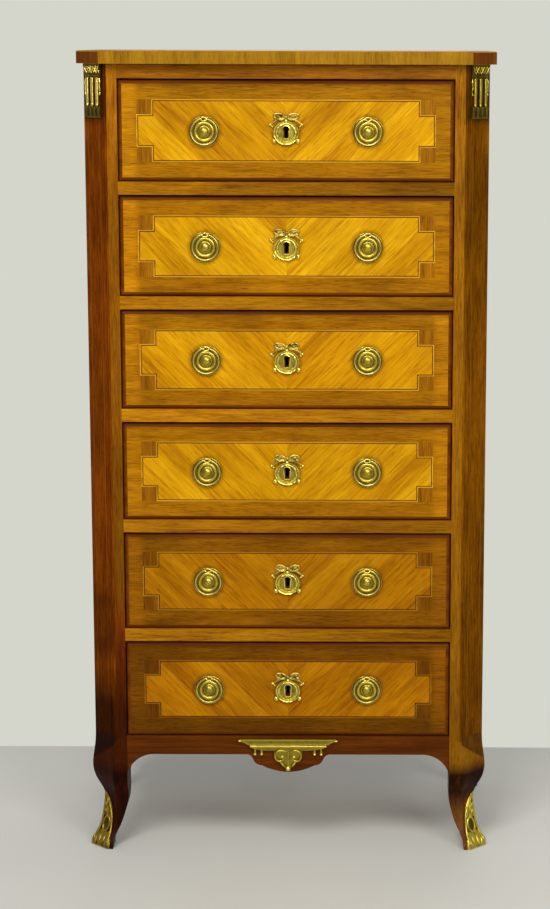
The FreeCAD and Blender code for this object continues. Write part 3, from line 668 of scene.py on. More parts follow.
@dataclass(frozen=True)
class Nodes:
    """Short way to place and join the nodes of one tree."""

    tree: bpy.types.NodeTree

    @classmethod
    def of(cls, owner: Material | bpy.types.World) -> "Nodes":
        """Emptied tree of a material or world.

        Args:
            owner: What the tree belongs to.

        Returns:
            Its nodes.
        """
        owner.use_nodes = True
        owner.node_tree.nodes.clear()
        return cls(owner.node_tree)

    def add(self, kind: str, inputs: Inputs | None = None, **settings: object) -> bpy.types.Node:
        """Places a node, sets its options and fills its inputs.

        Args:
            kind: Node type without its leading ShaderNode.
            inputs: Values or sockets by input name or number.
            settings: Options of the node.

        Returns:
            The node.
        """
        node = self.tree.nodes.new("ShaderNode" + kind)
        for key, value in settings.items():
            setattr(node, key, value)
        for key, value in (inputs or {}).items():
            self.feed(node.inputs[key], value)
        return node

    def feed(self, socket: Socket, value: Value) -> None:
        """Links a socket to another one, or sets its value.

        Args:
            socket: Input of a node.
            value: Socket to link, or a plain value.
        """
        if isinstance(value, bpy.types.NodeSocket):
            self.tree.links.new(value, socket)
        else:
            socket.default_value = value

    def place(self) -> Socket:
        """Place of the shaded point in the chest's frame."""
        return self.add("TexCoord").outputs["Object"]

    def split(self, vector: Socket) -> Sequence[Socket]:
        """Parts of a vector along X, Y and Z."""
        return self.add("SeparateXYZ", {0: vector}).outputs

    def math(self, kind: str, *values: Value) -> Socket:
        """Result of a Math node."""
        return self.add("Math", dict(enumerate(values)), operation=kind).outputs[0]

    def mix(self, share: Value, first: Value, second: Value, blend: str = "MIX") -> Socket:
        """Result of mixing two colours."""
        inputs = {0: share, 6: first, 7: second}
        return self.add("Mix", inputs, data_type="RGBA", blend_type=blend).outputs[2]

    def spread(
        self, value: Value, low: Value, high: Value, to_low: float = 0.0, to_high: float = 1.0
    ) -> Socket:
        """Value carried from one range to another, held at its ends."""
        return self.add("MapRange", {0: value, 1: low, 2: high, 3: to_low, 4: to_high}).outputs[0]

    def noise(
        self, place: Socket, scale: float, detail: float, rough: float = 0.5, wander: Value = 0.0
    ) -> Socket:
        """Value of a cloudy noise at a place."""
        inputs = {"Vector": place, "Scale": scale, "Detail": detail, "Roughness": rough, "Distortion": wander}
        return self.add("TexNoise", inputs).outputs[0]

    def surface(self, inputs: Inputs) -> None:
        """Ends the tree in one surface."""
        self.add("OutputMaterial", {0: self.add("BsdfPrincipled", inputs).outputs[0]})


def paint(colour: Triple) -> tuple[float, float, float, float]:
    """Colour with its alpha of one."""
    return (*colour, 1.0)


def new_group(
    name: str, values: Sequence[str], outputs: Sequence[str]
) -> tuple[Nodes, bpy.types.NodeOutputs, bpy.types.NodeInputs]:
    """Starts a shader node group that takes a place, named Vector, and some values.

    Args:
        name: Name of the group.
        values: Names of the values that it takes.
        outputs: Names of the values that it gives.

    Returns:
        Its nodes, the sockets that bring its values in and those that take its results.
    """
    tree = bpy.data.node_groups.new(name, "ShaderNodeTree")
    tree.interface.new_socket(name="Vector", in_out="INPUT", socket_type="NodeSocketVector")
    for way, labels in (("INPUT", values), ("OUTPUT", outputs)):
        for label in labels:
            tree.interface.new_socket(name=label, in_out=way, socket_type="NodeSocketFloat")
    start, end = tree.nodes.new("NodeGroupInput"), tree.nodes.new("NodeGroupOutput")
    return Nodes(tree), start.outputs, end.inputs


@cache
def grain_group() -> bpy.types.NodeTree:
    """Wood fibres along X: a slow figure with fine fibres and joined strips, and short dark pores.

    Returns:
        Group that gives Tone, Pore and Height.
    """
    values = ("Along", "Across", "Wander", "Figure", "Fineness", "Strips")
    n, start, end = new_group("wood_grain", values, ("Tone", "Pore", "Height"))

    def noise(long: float, cross: float, detail: float, wander: Value) -> Socket:
        """Noise drawn out along the fibres."""
        lengthwise = n.math("MULTIPLY", start["Along"], long)
        crosswise = n.math("MULTIPLY", start["Across"], cross)
        scale = n.add("CombineXYZ", {0: lengthwise, 1: crosswise, 2: crosswise}).outputs[0]
        place = n.add("VectorMath", {0: start["Vector"], 1: scale}, operation="MULTIPLY").outputs[0]
        return n.noise(place, 1.0, detail, 0.55, wander)

    figure = noise(1.0, 1.0, 1.5, start["Wander"])
    fibre = noise(3.0, 8.5, 3.0, 0.3)
    dash = noise(8.0, 24.0, 1.0, 0.0)
    _, y, z = n.split(start["Vector"])
    pitch = n.math("MULTIPLY", start["Across"], 1.15)
    strip = n.math("FLOOR", n.math("MULTIPLY", n.math("ADD", y, z), pitch))
    tint = n.add("TexWhiteNoise", {"W": strip}, noise_dimensions="1D").outputs[0]
    fine = n.math("MULTIPLY", n.math("SUBTRACT", fibre, 0.5), start["Fineness"])
    broad = n.math("MULTIPLY_ADD", n.math("SUBTRACT", figure, 0.5), start["Figure"], 0.5)
    joined = n.math("MULTIPLY", n.math("SUBTRACT", tint, 0.5), start["Strips"])
    n.feed(end["Tone"], n.math("ADD", n.math("ADD", broad, fine), joined))
    n.feed(end["Pore"], n.spread(dash, 0.56, 0.7))
    n.feed(end["Height"], n.math("ADD", fibre, n.math("MULTIPLY", dash, -0.5)))
    return n.tree


@cache
def age_group() -> bpy.types.NodeTree:
    """Slow blotches of age and old polish: Shade falls below one where the surface has darkened.

    Returns:
        Group that gives Shade and Rough.
    """
    n, start, end = new_group("age", ("Depth",), ("Shade", "Rough"))
    cloud = n.noise(start["Vector"], 7.0, 4.0, 0.6)
    stain = n.noise(start["Vector"], 31.0, 3.0, 0.7)
    both = n.math("ADD", n.spread(cloud, 0.35, 0.65), n.spread(stain, 0.55, 0.75, 0.0, 0.5))
    n.feed(end["Shade"], n.math("SUBTRACT", 1.0, n.math("MULTIPLY", both, start["Depth"])))
    n.feed(end["Rough"], n.spread(cloud, 0.3, 0.7, -0.05, 0.09))
    return n.tree


@cache
def patina_group() -> bpy.types.NodeTree:
    """Bright rises from hollows to ridges and falls in dull spots; Height is the skin of the casting.

    Returns:
        Group that gives Bright and Height.
    """
    n, start, end = new_group("patina", ("Ridge", "Low", "High", "Spots"), ("Bright", "Height"))
    cloud = n.noise(start["Vector"], 90.0, 4.0, 0.65)
    skin = n.noise(start["Vector"], 900.0, 2.0)
    ridge = n.spread(start["Ridge"], start["Low"], start["High"])
    dull = n.math("MULTIPLY", n.spread(cloud, 0.5, 0.7), start["Spots"])
    n.feed(end["Bright"], n.math("MAXIMUM", n.math("SUBTRACT", ridge, dull), 0.0))
    n.feed(end["Height"], n.math("ADD", cloud, n.math("MULTIPLY", skin, 0.4)))
    return n.tree


class Grain(Enum):
    """Way that the fibres run: axes folded about the middle, then a turn that lays them along X."""

    ACROSS = ((False, False), (0.0, 0.0, 0.0))
    UPRIGHT = ((False, False), (0.0, 90.0, 0.0))
    DEEP = ((False, False), (0.0, 0.0, -90.0))
    MATCHED = ((True, False), (0.0, 45.0, 0.0))
    MATCHED_SIDE = ((False, True), (45.0, 90.0, 0.0))
    MATCHED_TOP = ((True, True), (0.0, 0.0, -45.0))


@dataclass(frozen=True)
class Wood:
    """Polished or plain wood whose figure runs from a dark to a light tone."""

    name: str
    dark: Triple
    mid: Triple
    light: Triple
    grain: Grain = Grain.ACROSS
    along: float = 2.6
    across: float = 30.0
    wander: float = 0.4
    figure: float = 1.7
    fineness: float = 0.9
    strips: float = 0.0
    pores: float = 0.35
    age: float = 0.16
    rough: float = 0.34
    coat: float = 0.01
    gleam: float = 0.03
    bump: float = 0.12
    shift: Triple = (0.0, 0.0, 0.0)
    unlike: float = 0.7
    # Mask of dirt and of painted shade that darkens the wood; where it falls below zero it makes the wood
    # lighter.
    dirt_and_shade: Mask | None = None

    def toned(self, name: str, tone: Triple) -> "Wood":
        """Same wood in another tone.

        Args:
            name: Name of the new finish.
            tone: Factors of its red, green and blue.

        Returns:
            The toned wood.
        """
        shades = {label: tuple(np.array(getattr(self, label)) * tone) for label in ("dark", "mid", "light")}
        return replace(self, name=name, **shades)

    def laid(self, n: Nodes, moved: Socket) -> Socket:
        """Folds the place about the middle and turns it, so that the fibres run along X.

        Args:
            n: Nodes of the material.
            moved: Place of the shaded point, shifted.

        Returns:
            The place in the wood.
        """
        (fold_x, fold_y), turn = self.grain.value
        x, y, z = n.split(moved)
        if fold_x:
            y = n.math("ADD", y, n.math("MULTIPLY", n.math("LESS_THAN", x, 0.0), self.unlike))
            x = n.math("ABSOLUTE", x)
        y = n.math("ABSOLUTE", y) if fold_y else y
        halved = n.add("CombineXYZ", {0: x, 1: y, 2: z}).outputs[0]
        return n.add("Mapping", {"Vector": halved, "Rotation": tuple(map(math.radians, turn))}).outputs[0]

    def layers(self, n: Nodes) -> tuple[Socket, Socket, Socket]:
        """Places the wood's nodes.

        Args:
            n: Nodes of the material.

        Returns:
            Sockets of its colour, roughness and height.
        """
        moved = n.add("VectorMath", {0: n.place(), 1: self.shift}, operation="ADD").outputs[0]
        values = {"Vector": self.laid(n, moved), "Along": self.along, "Across": self.across,
                  "Wander": self.wander, "Figure": self.figure, "Fineness": self.fineness,
                  "Strips": self.strips}
        grain = n.add("Group", values, node_tree=grain_group()).outputs
        ramp = n.add("ValToRGB", {0: grain["Tone"]})
        first, last = ramp.color_ramp.elements
        first.position, first.color = 0.12, paint(self.dark)
        last.position, last.color = 0.88, paint(self.light)
        ramp.color_ramp.elements.new(0.5).color = paint(self.mid)
        pores = n.math("MULTIPLY", grain["Pore"], self.pores)
        pored = n.mix(pores, ramp.outputs[0], paint(self.dark), "MULTIPLY")
        age = n.add("Group", {"Vector": moved, "Depth": self.age}, node_tree=age_group()).outputs
        shade = age["Shade"]
        # Dirt and painted shade darken the aged colour.
        if self.dirt_and_shade:
            shade = n.math("MULTIPLY", shade, n.math("SUBTRACT", 1.0, self.dirt_and_shade(n)))
        aged = n.add("VectorMath", {0: pored, "Scale": shade}, operation="SCALE").outputs[0]
        polish = n.spread(grain["Tone"], 0.0, 1.0, self.rough + 0.06, self.rough - 0.04)
        return aged, n.math("ADD", polish, age["Rough"]), grain["Height"]

    def material(self) -> Material:
        """Material of this wood, made once."""
        return bpy.data.materials.get(self.name) or polished(self.name, self)


def polished(name: str, base: Wood, *over: tuple[Wood, Mask]) -> Material:
    """Material of one wood, with others laid over it where their masks are one.

    Args:
        name: Name of the material.
        base: The first wood.
        over: Further woods, each with the function that places its mask.

    Returns:
        The material.
    """
    material = bpy.data.materials.new(name)
    n = Nodes.of(material)
    colour, gloss, height = base.layers(n)
    for wood, mask in over:
        share = mask(n)
        other, other_gloss, other_height = wood.layers(n)
        colour = n.mix(share, colour, other)
        gloss = n.add("Mix", {0: share, 2: gloss, 3: other_gloss}).outputs[0]
        height = n.add("Mix", {0: share, 2: height, 3: other_height}).outputs[0]
    bump = n.add("Bump", {"Strength": base.bump, "Distance": WOOD_RELIEF, "Height": height}).outputs[0]
    n.surface({"Base Color": colour, "Roughness": gloss, "Normal": bump, "Specular IOR Level": base.gleam,
               "Coat Weight": base.coat, "Coat Roughness": COAT_ROUGH})
    return material


@dataclass(frozen=True)
class Metal:
    """Cast metal, bright on its ridges and dull in its hollows."""

    name: str
    bright: Triple
    deep: Triple
    rough: float = 0.26
    dull: float = 0.55
    low: float = 0.44
    high: float = 0.54
    spots: float = 0.35

    def material(self) -> Material:
        """Material of this metal, made once."""
        return bpy.data.materials.get(self.name) or self.new_material()

    def new_material(self) -> Material:
        """Places the metal's nodes: its colour and gloss follow the patina.

        Returns:
            The material.
        """
        made = bpy.data.materials.new(self.name)
        n = Nodes.of(made)
        values = {"Vector": n.place(), "Ridge": n.add("NewGeometry").outputs["Pointiness"],
                  "Low": self.low, "High": self.high, "Spots": self.spots}
        patina = n.add("Group", values, node_tree=patina_group()).outputs
        colour = n.mix(patina["Bright"], paint(self.deep), paint(self.bright))
        gloss = n.spread(patina["Bright"], 0.0, 1.0, self.dull, self.rough)
        relief = {"Strength": 0.2, "Distance": METAL_RELIEF, "Height": patina["Height"]}
        bump = n.add("Bump", relief).outputs[0]
        n.surface({"Base Color": colour, "Metallic": 1.0, "Roughness": gloss, "Normal": bump})
        return made


FIELD = Wood("satinwood_field", (0.38, 0.135, 0.0015), (0.60, 0.262, 0.002), (0.78, 0.395, 0.006),
             Grain.MATCHED, along=5.0, across=26.0, wander=0.6, figure=0.75, fineness=0.95, strips=0.32,
             pores=0.4, age=0.18)
BAND = Wood("tulipwood_band", (0.18, 0.060, 0.002), (0.33, 0.128, 0.002), (0.45, 0.195, 0.004), Grain.ACROSS,
            along=8.0, across=60.0, figure=0.8, fineness=1.2, pores=0.5, age=0.24)
BLOCK = Wood("corner_block", (0.15, 0.046, 0.002), (0.27, 0.098, 0.003), (0.40, 0.165, 0.006), Grain.UPRIGHT,
             along=6.0, across=75.0, figure=1.1, fineness=1.2, pores=0.5)
DARK_STRING = Wood("dark_string", (0.045, 0.012, 0.001), (0.075, 0.021, 0.002), (0.11, 0.034, 0.003),
                   across=90.0, age=0.05)
LIGHT_STRING = Wood("light_string", (0.44, 0.21, 0.014), (0.58, 0.30, 0.024), (0.68, 0.38, 0.04),
                    across=90.0, age=0.08)
CANT_STRING = Wood("cant_string", (0.24, 0.08, 0.006), (0.32, 0.12, 0.010), (0.40, 0.17, 0.015),
                   Grain.UPRIGHT, across=90.0)
EDGE = Wood("drawer_edge", (0.10, 0.024, 0.0015), (0.15, 0.037, 0.002), (0.20, 0.052, 0.003), Grain.ACROSS,
            across=70.0, rough=0.5, coat=0.0)
RAIL = Wood("rail_face", (0.18, 0.056, 0.002), (0.325, 0.121, 0.003), (0.44, 0.183, 0.005), Grain.ACROSS,
            along=8.0, across=60.0, figure=0.85, fineness=1.25, pores=0.5)
# The frieze is the rail veneer toned darker as painted shadow of the top's overhang.
SHADED_FRIEZE = RAIL.toned("frieze_veneer_painted_shadow", (0.84, 0.75, 0.9))
# The apron's near-black tone is partly dirt and partly painted shade low on the chest.
APRON = Wood("apron_veneer", (0.05, 0.010, 0.001), (0.105, 0.024, 0.0015), (0.16, 0.042, 0.002), Grain.ACROSS,
             along=3.5, across=55.0, figure=1.0, fineness=1.0, pores=0.45)
STILE = Wood("stile_veneer", (0.15, 0.042, 0.002), (0.27, 0.088, 0.003), (0.37, 0.138, 0.005), Grain.UPRIGHT,
             along=9.0, across=60.0, figure=0.75, fineness=1.25, pores=0.5)
# The knee's near-black tone is painted shade where the swell of the knee turns down away from the light.
KNEE = Wood("knee_veneer", (0.011, 0.003, 0.001), (0.025, 0.006, 0.0015), (0.05, 0.014, 0.002), Grain.UPRIGHT,
            along=5.0, across=60.0, fineness=1.1, pores=0.5, age=0.3, coat=0.0, gleam=0.01)
SHIN = Wood("shin_veneer", (0.07, 0.022, 0.004), (0.13, 0.044, 0.009), (0.21, 0.075, 0.016), Grain.UPRIGHT,
            along=5.0, across=60.0, fineness=1.1, pores=0.5, age=0.3, coat=0.0, gleam=0.01)
CANT_PANEL = Wood("cant_panel", (0.10, 0.020, 0.001), (0.185, 0.042, 0.0015), (0.27, 0.072, 0.002),
                  Grain.UPRIGHT, along=10.0, across=50.0, figure=0.8, fineness=1.3, pores=0.55, age=0.3,
                  coat=0.0, gleam=0.01)
CANT_BAND = Wood("cant_band", (0.05, 0.015, 0.001), (0.105, 0.035, 0.0015), (0.17, 0.062, 0.002),
                 Grain.UPRIGHT, along=10.0, across=60.0, figure=0.9, fineness=1.3, pores=0.55, age=0.25,
                 coat=0.0, gleam=0.01)
TOP_EDGE = Wood("top_edge_veneer", (0.20, 0.082, 0.003), (0.325, 0.155, 0.005), (0.42, 0.21, 0.009),
                Grain.UPRIGHT, along=9.0, across=40.0, figure=1.0, fineness=1.0, pores=0.4)
TOP_END = Wood("top_end_veneer", (0.07, 0.017, 0.001), (0.14, 0.038, 0.002), (0.20, 0.064, 0.003),
               Grain.UPRIGHT, across=60.0)
TOP_BAND_DEEP = replace(BAND, name="top_band_deep", grain=Grain.DEEP)
TOP_FIELD = replace(FIELD, name="top_field", grain=Grain.MATCHED_TOP)
SIDE_FIELD = replace(FIELD.toned("side_field", (0.72, 0.66, 0.7)), grain=Grain.MATCHED_SIDE,
                     shift=(0.0, -0.0155, 0.0), age=0.2)
SIDE_BAND = replace(BAND.toned("side_band", (0.85, 0.8, 0.8)), grain=Grain.UPRIGHT)
OAK_DEEP = Wood("oak_deep", (0.24, 0.13, 0.05), (0.37, 0.22, 0.095), (0.47, 0.30, 0.14), Grain.DEEP,
                along=3.5, across=70.0, fineness=1.2, pores=0.7, rough=0.62, coat=0.0, bump=0.3, age=0.25)
OAK_ACROSS = replace(OAK_DEEP, name="oak_across", grain=Grain.ACROSS)
OAK_UPRIGHT = replace(OAK_DEEP.toned("oak_upright", (0.85, 0.85, 0.85)), grain=Grain.UPRIGHT,
                      across=45.0, age=0.35)
GILT_PULL = Metal("gilt_pull", (0.64, 0.50, 0.075), (0.21, 0.155, 0.018),
                  rough=0.33, dull=0.6, low=0.43, high=0.55)
GILT_RING = Metal("gilt_ring", (0.66, 0.54, 0.13), (0.26, 0.20, 0.035),
                  rough=0.33, low=0.40, high=0.50, spots=0.3)
GILT_BRIGHT = Metal("gilt_bright", (1.0, 0.81, 0.19), (0.26, 0.19, 0.02),
                    rough=0.30, dull=0.58, low=0.42, high=0.54)
GILT_WREATH = Metal("gilt_wreath", (0.88, 0.74, 0.15), (0.20, 0.15, 0.014),
                    rough=0.30, dull=0.58, low=0.42, high=0.54, spots=0.4)
GILT_WORN = Metal("gilt_worn", (0.52, 0.41, 0.06), (0.12, 0.09, 0.009),
                  rough=0.33, dull=0.6, low=0.42, high=0.54, spots=0.5)
# The bow's dark gilt is partly patina and partly painted shade.
GILT_BOW = Metal("gilt_bow", (0.62, 0.46, 0.09), (0.04, 0.024, 0.005),
                 rough=0.36, dull=0.65, low=0.44, high=0.55, spots=1.0)
GILT_FOOT = Metal("gilt_foot", (0.72, 0.58, 0.085), (0.15, 0.115, 0.012),
                  rough=0.36, dull=0.6, low=0.42, high=0.56, spots=0.8)
# Darker copy of the foot gilt for the left sabot: painted shade on the side away from the light.
GILT_FOOT_SHADED = Metal("gilt_foot_painted_shade", (0.42, 0.29, 0.04), (0.07, 0.042, 0.006),
                      rough=0.4, dull=0.65, low=0.42, high=0.56, spots=0.9)
GILT_MOUNT = Metal("gilt_mount", (0.52, 0.40, 0.045), (0.085, 0.06, 0.006),
                   rough=0.33, dull=0.6, low=0.43, high=0.55)
GILT_DULL = Metal("gilt_dull", (0.36, 0.285, 0.035), (0.07, 0.052, 0.006), rough=0.45, dull=0.65, spots=0.7)
# Also dresses the dark buds that stand for painted shade in the eyes of the pulls and sabots.
GILT_DARK = Metal("gilt_dark", (0.18, 0.128, 0.02), (0.026, 0.017, 0.003), rough=0.45, dull=0.7, spots=0.7)
# Iron darkened past its own aged tone so that the lock shows black through the keyhole: partly aged iron,
# partly painted shade.
STEEL_AND_SHADE = Metal("aged_iron_and_shade", (0.035, 0.033, 0.03), (0.01, 0.009, 0.008), rough=0.6, dull=0.75, spots=0.5)


# Masks


def beyond(axis: int, start: float, end: float, depth: float = 1.0) -> Mask:
    """Mask that goes from zero to its depth between two planes square to an axis.

    Args:
        axis: X, Y or Z.
        start: Place where it is zero, in millimetres.
        end: Place where it is deepest.
        depth: Its value there, below zero where it makes the wood lighter.

    Returns:
        Function that places the mask's nodes.
    """
    return lambda n: n.spread(n.split(n.place())[axis], start * MM, end * MM, 0.0, depth)


def folded(kind: str, masks: Sequence[Mask]) -> Mask:
    """Masks folded into one by a kind of Math node."""
    return lambda n: reduce(lambda done, mask: n.math(kind, done, mask(n)), masks[1:], masks[0](n))


def either(*masks: Mask) -> Mask:
    """Greatest of several masks."""
    return folded("MAXIMUM", masks)


def summed(*masks: Mask) -> Mask:
    """Sum of several masks."""
    return folded("ADD", masks)


def round_mounts(level: float, places: Sequence[tuple[float, float]], depth: float, fade: float) -> Mask:
    """Mask of the dirt that polish leaves round mounts: deepest at their edge, gone a fade away.

    Args:
        level: Height of the mounts, in millimetres.
        places: Distance of each mount from the chest's middle, and its radius.
        depth: Greatest value.
        fade: Width of the dirt.

    Returns:
        Function that places the mask's nodes.
    """

    def mask(n: Nodes) -> Socket:
        """Spreads the distance from each mount and keeps the greatest value."""
        x, _, z = n.split(n.place())
        up, found = n.math("SUBTRACT", z, level * MM), 0.0
        for place, radius in places:
            away = n.math("SUBTRACT", n.math("ABSOLUTE", x), place * MM)
            reach = n.math("SQRT", n.math("ADD", n.math("MULTIPLY", away, away), n.math("MULTIPLY", up, up)))
            found = n.math("MAXIMUM", found, n.spread(reach, radius * MM, (radius + fade) * MM, depth, 0.0))
        return found

    return mask


def cant_stop(high: float, fall: float, soft: float = 1.5) -> Mask:
    """Mask of the canted face above the slanting line at which its veneer ends.

    Args:
        high: Height of the line at the inner arris, in millimetres.
        fall: Height that it loses across the face.
        soft: Half width of its edge.

    Returns:
        Function that places the mask's nodes.
    """

    def mask(n: Nodes) -> Socket:
        """Takes across = (|x| + y - middle) / root 2 and compares the height with the line there."""
        x, y, z = n.split(n.place())
        half = LAYOUT.cant / ROOT_2
        inside, outside = half - 0.4, half + 0.6
        middle = (LAYOUT.half_body + LAYOUT.front) * MM
        across = n.math("DIVIDE", n.math("SUBTRACT", n.math("ADD", n.math("ABSOLUTE", x), y), middle), ROOT_2)
        off = n.spread(n.math("ABSOLUTE", across), inside * MM, outside * MM, 1.0, 0.0)
        line = n.math("MULTIPLY_ADD", across, -fall / (2.0 * half), (high - fall / 2.0) * MM)
        return n.math("MULTIPLY", off, n.spread(n.math("SUBTRACT", z, line), -soft * MM, soft * MM))

    return mask


# Carcass


def dress(node: str, material: Material) -> None:
    """Gives a solid its finish.

    Args:
        node: Name of the solid.
        material: The finish.
    """
    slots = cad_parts[node].data.materials
    slots.clear()
    slots.append(material)
    LOG.info("%s dressed in %s", node, material.name)


@dataclass(frozen=True)
class Carcass:
    """Posts, top, sides, rails and back, with the veneers laid on them."""

    body: str = "carcass"
    string: float = 1.5
    edge_veneer: float = 0.25
    rail_veneer: float = 20.0
    cant_inner: float = 12.8
    cant_outer: float = 15.2
    cant_edge: float = 1.0
    cant_low: float = 190.0
    cant_fall: float = 34.0
    arris: float = 3.4
    arris_inset: float = 0.2
    arris_drop: float = 10.0
    top_band: float = 47.0
    top_inset: float = 2.0
    top_corner: float = 41.7
    end_low: float = 0.6
    end_high: float = 1.4
    end_edge: float = 0.4
    side_middle: float = 15.5
    side_half: float = 133.5
    side_band: float = 34.0
    side_low: float = 196.0
    side_gap: float = 8.0

    def post_stocks(self) -> dict[str, Material]:
        """Finishes of the posts, dark at the knee as painted shade; the left one is painted redder and darker
        towards its foot as shade.

        Returns:
            Materials by the post's node.
        """
        knee, shin = beyond(Z, 160.0, 136.0), beyond(Z, 100.0, 64.0)
        stop = cant_stop(self.cant_low, self.cant_fall)
        # Painted shade above the knee.
        shade = beyond(Z, 280.0, 200.0, 0.84)
        # Painted shading down the stiles: darker and lighter bands where the light falls on them unevenly.
        left_painted_shading = either(summed(
            beyond(Z, 1270.0, 1150.0, 0.36), beyond(Z, 760.0, 690.0, 0.18), beyond(Z, 480.0, 410.0, -0.1),
            beyond(Z, 410.0, 320.0, 0.26), beyond(Z, 330.0, 250.0, 0.14)), shade)
        right_painted_shading = summed(
            beyond(Z, 1290.0, 1150.0, 0.12), beyond(Z, 640.0, 560.0, 0.1), beyond(Z, 420.0, 320.0, 0.12))
        # The left and right stiles are lit and shaded copies of one veneer; the low left one is redder and
        # darker as painted shade.
        left = replace(STILE.toned("left_stile", (1.32, 1.36, 1.0)), dirt_and_shade=left_painted_shading)
        low = replace(STILE.toned("low_left_stile", (1.05, 0.55, 0.5)), dirt_and_shade=left_painted_shading)
        right = replace(STILE.toned("right_stile", (1.24, 1.43, 1.0)), dirt_and_shade=right_painted_shading)
        # The left leg's woods are darker copies: painted shade on the side away from the light.
        shaded_left_cant = replace(CANT_BAND.toned("left_cant_band_painted_shade", (1.1, 0.5, 0.5)), dirt_and_shade=shade)
        shaded_left_knee = KNEE.toned("left_knee_painted_shade", (1.1, 0.5, 0.5))
        shaded_left_shin = SHIN.toned("left_shin_painted_shade", (0.17, 0.08, 0.08))
        leg = [(KNEE, knee), (SHIN, shin)]
        shaded_left_leg = [(shaded_left_knee, knee), (shaded_left_shin, shin)]
        rear = polished("rear_post_stock", SIDE_BAND, *leg)
        return {
            "front_left_post": polished(
                "left_post_stock", left, (low, beyond(Z, 520.0, 400.0)), (shaded_left_cant, stop), *shaded_left_leg),
            "front_right_post": polished("right_post_stock", right, (CANT_BAND, stop), *leg),
            "rear_left_post": rear,
            "rear_right_post": rear,
        }

    def dress_solids(self) -> None:
        """Finishes every solid of the carcass that shows."""
        # Rails toned darker towards the right and on the top rail, and lighter on the third rail.
        tone_ramps = summed(beyond(X, -260.0, 260.0, 0.4), beyond(Z, 1060.0, 1145.0, 0.15),
                        beyond(Z, 760.0, 764.0, -0.3), beyond(Z, 787.0, 791.0, 0.3))
        rail = replace(RAIL.toned("ramped_rail", (1.22, 1.26, 1.0)), dirt_and_shade=tone_ramps)
        bare = (OAK_ACROSS, beyond(Y, LAYOUT.front + self.rail_veneer, LAYOUT.front + self.rail_veneer + 0.5))
        finishes = self.post_stocks() | {
            "top_board": TOP_EDGE.material(),
            "frieze_rail": polished("frieze_stock", SHADED_FRIEZE, bare),
            "drawer_rails": polished("rail_stock", rail, bare),
            "apron_rail": polished("apron_stock", APRON, bare),
            "back_boards": OAK_UPRIGHT.material(),
            "drawer_runners": OAK_DEEP.material(),
        }
        finishes |= dict.fromkeys(("left_side_panel", "right_side_panel"), SIDE_BAND.material())
        finishes |= dict.fromkeys(("rear_rails", "bottom_board", "drawer_stops"), OAK_ACROSS.material())
        for name, material in finishes.items():
            dress(name, material)

    def cant_woods(self, hand: str) -> list[Wood]:
        """Woods of one canted corner, with painted shade under the mount and painted shading down its height.

        Args:
            hand: Left or right.

        Returns:
            Its panel, strings and bands.
        """
        # Painted shade under the corner mount.
        under = beyond(Z, 1264.0, 1282.0, 0.65)
        # Painted shading down each corner: darker and lighter bands where the light falls unevenly.
        dirt_and_shading = {
            "left": (beyond(Z, 475.0, 450.0, 0.38), beyond(Z, 365.0, 335.0, -0.38),
                     beyond(Z, 330.0, 262.0, 0.8)),
            "right": (beyond(Z, 900.0, 1050.0, 0.3), beyond(Z, 1150.0, 1230.0, -0.2),
                      beyond(Z, 680.0, 480.0, 0.2), beyond(Z, 420.0, 350.0, 0.14)),
        }
        # The left and right tones are lit and shaded copies of the same woods: painted light.
        tones = {
            "left": ((1.02, 0.93, 0.5), (0.76, 0.52, 0.5), (1.76, 1.10, 0.6)),
            "right": ((1.22, 1.70, 0.6), (0.80, 0.72, 0.5), (2.05, 2.0, 0.6)),
        }
        dirt_and_shade = either(under, summed(*dirt_and_shading[hand]))
        toned = zip((CANT_PANEL, CANT_STRING, CANT_BAND), tones[hand])
        return [replace(wood.toned(f"{wood.name}_{hand}", tone), dirt_and_shade=dirt_and_shade) for wood, tone in toned]

    def lay_cants(self) -> None:
        """Panel, strings and bands on both canted corners, and the dark line along each stile."""
        half = LAYOUT.cant / ROOT_2 - self.cant_edge
        shift = (self.cant_outer - self.cant_inner) / 2
        inner = (self.cant_outer + self.cant_inner) / 2
        outer = inner + self.string
        lines = np.array([-half, shift - outer, shift - inner, shift + inner, shift + outer, half])
        for hand, side in HANDS:
            veneer = Veneer(Seat.canted(side, LAYOUT.half_body, LAYOUT.front, LAYOUT.cant))
            panel, string, band = self.cant_woods(hand)
            parts = {
                "panel": (panel, 0.0, inner),
                "strings": (string, inner, outer),
                "bands": (band, outer, math.inf),
            }
            for part, (wood, near, far) in parts.items():

                def keep(a: Array, u: Array) -> Array:
                    """Whether points lie between two distances from the panel's middle line."""
                    off = np.abs(a - side * shift)
                    return (off >= near) & (off < far)

                up = [self.cant_low, LAYOUT.carcass_top]
                made = veneer.cells(f"{hand}_cant_{part}", side * lines, up, keep, wood.material())
                seat_on(made, self.body)
            middle = LAYOUT.half_body - LAYOUT.cant - self.arris / 2 - self.arris_inset
            stile = Veneer(Seat((side * middle, LAYOUT.front, 0.0)), self.edge_veneer)
            up = (LAYOUT.leg_height - self.arris_drop, LAYOUT.carcass_top)
            # The dark line along the stile is partly dirt and partly painted shade where the stile rounds off
            # to the arris.
            made = stile.sheet(f"{hand}_stile_line", self.arris / 2, up, band.material())
            seat_on(made, self.body)

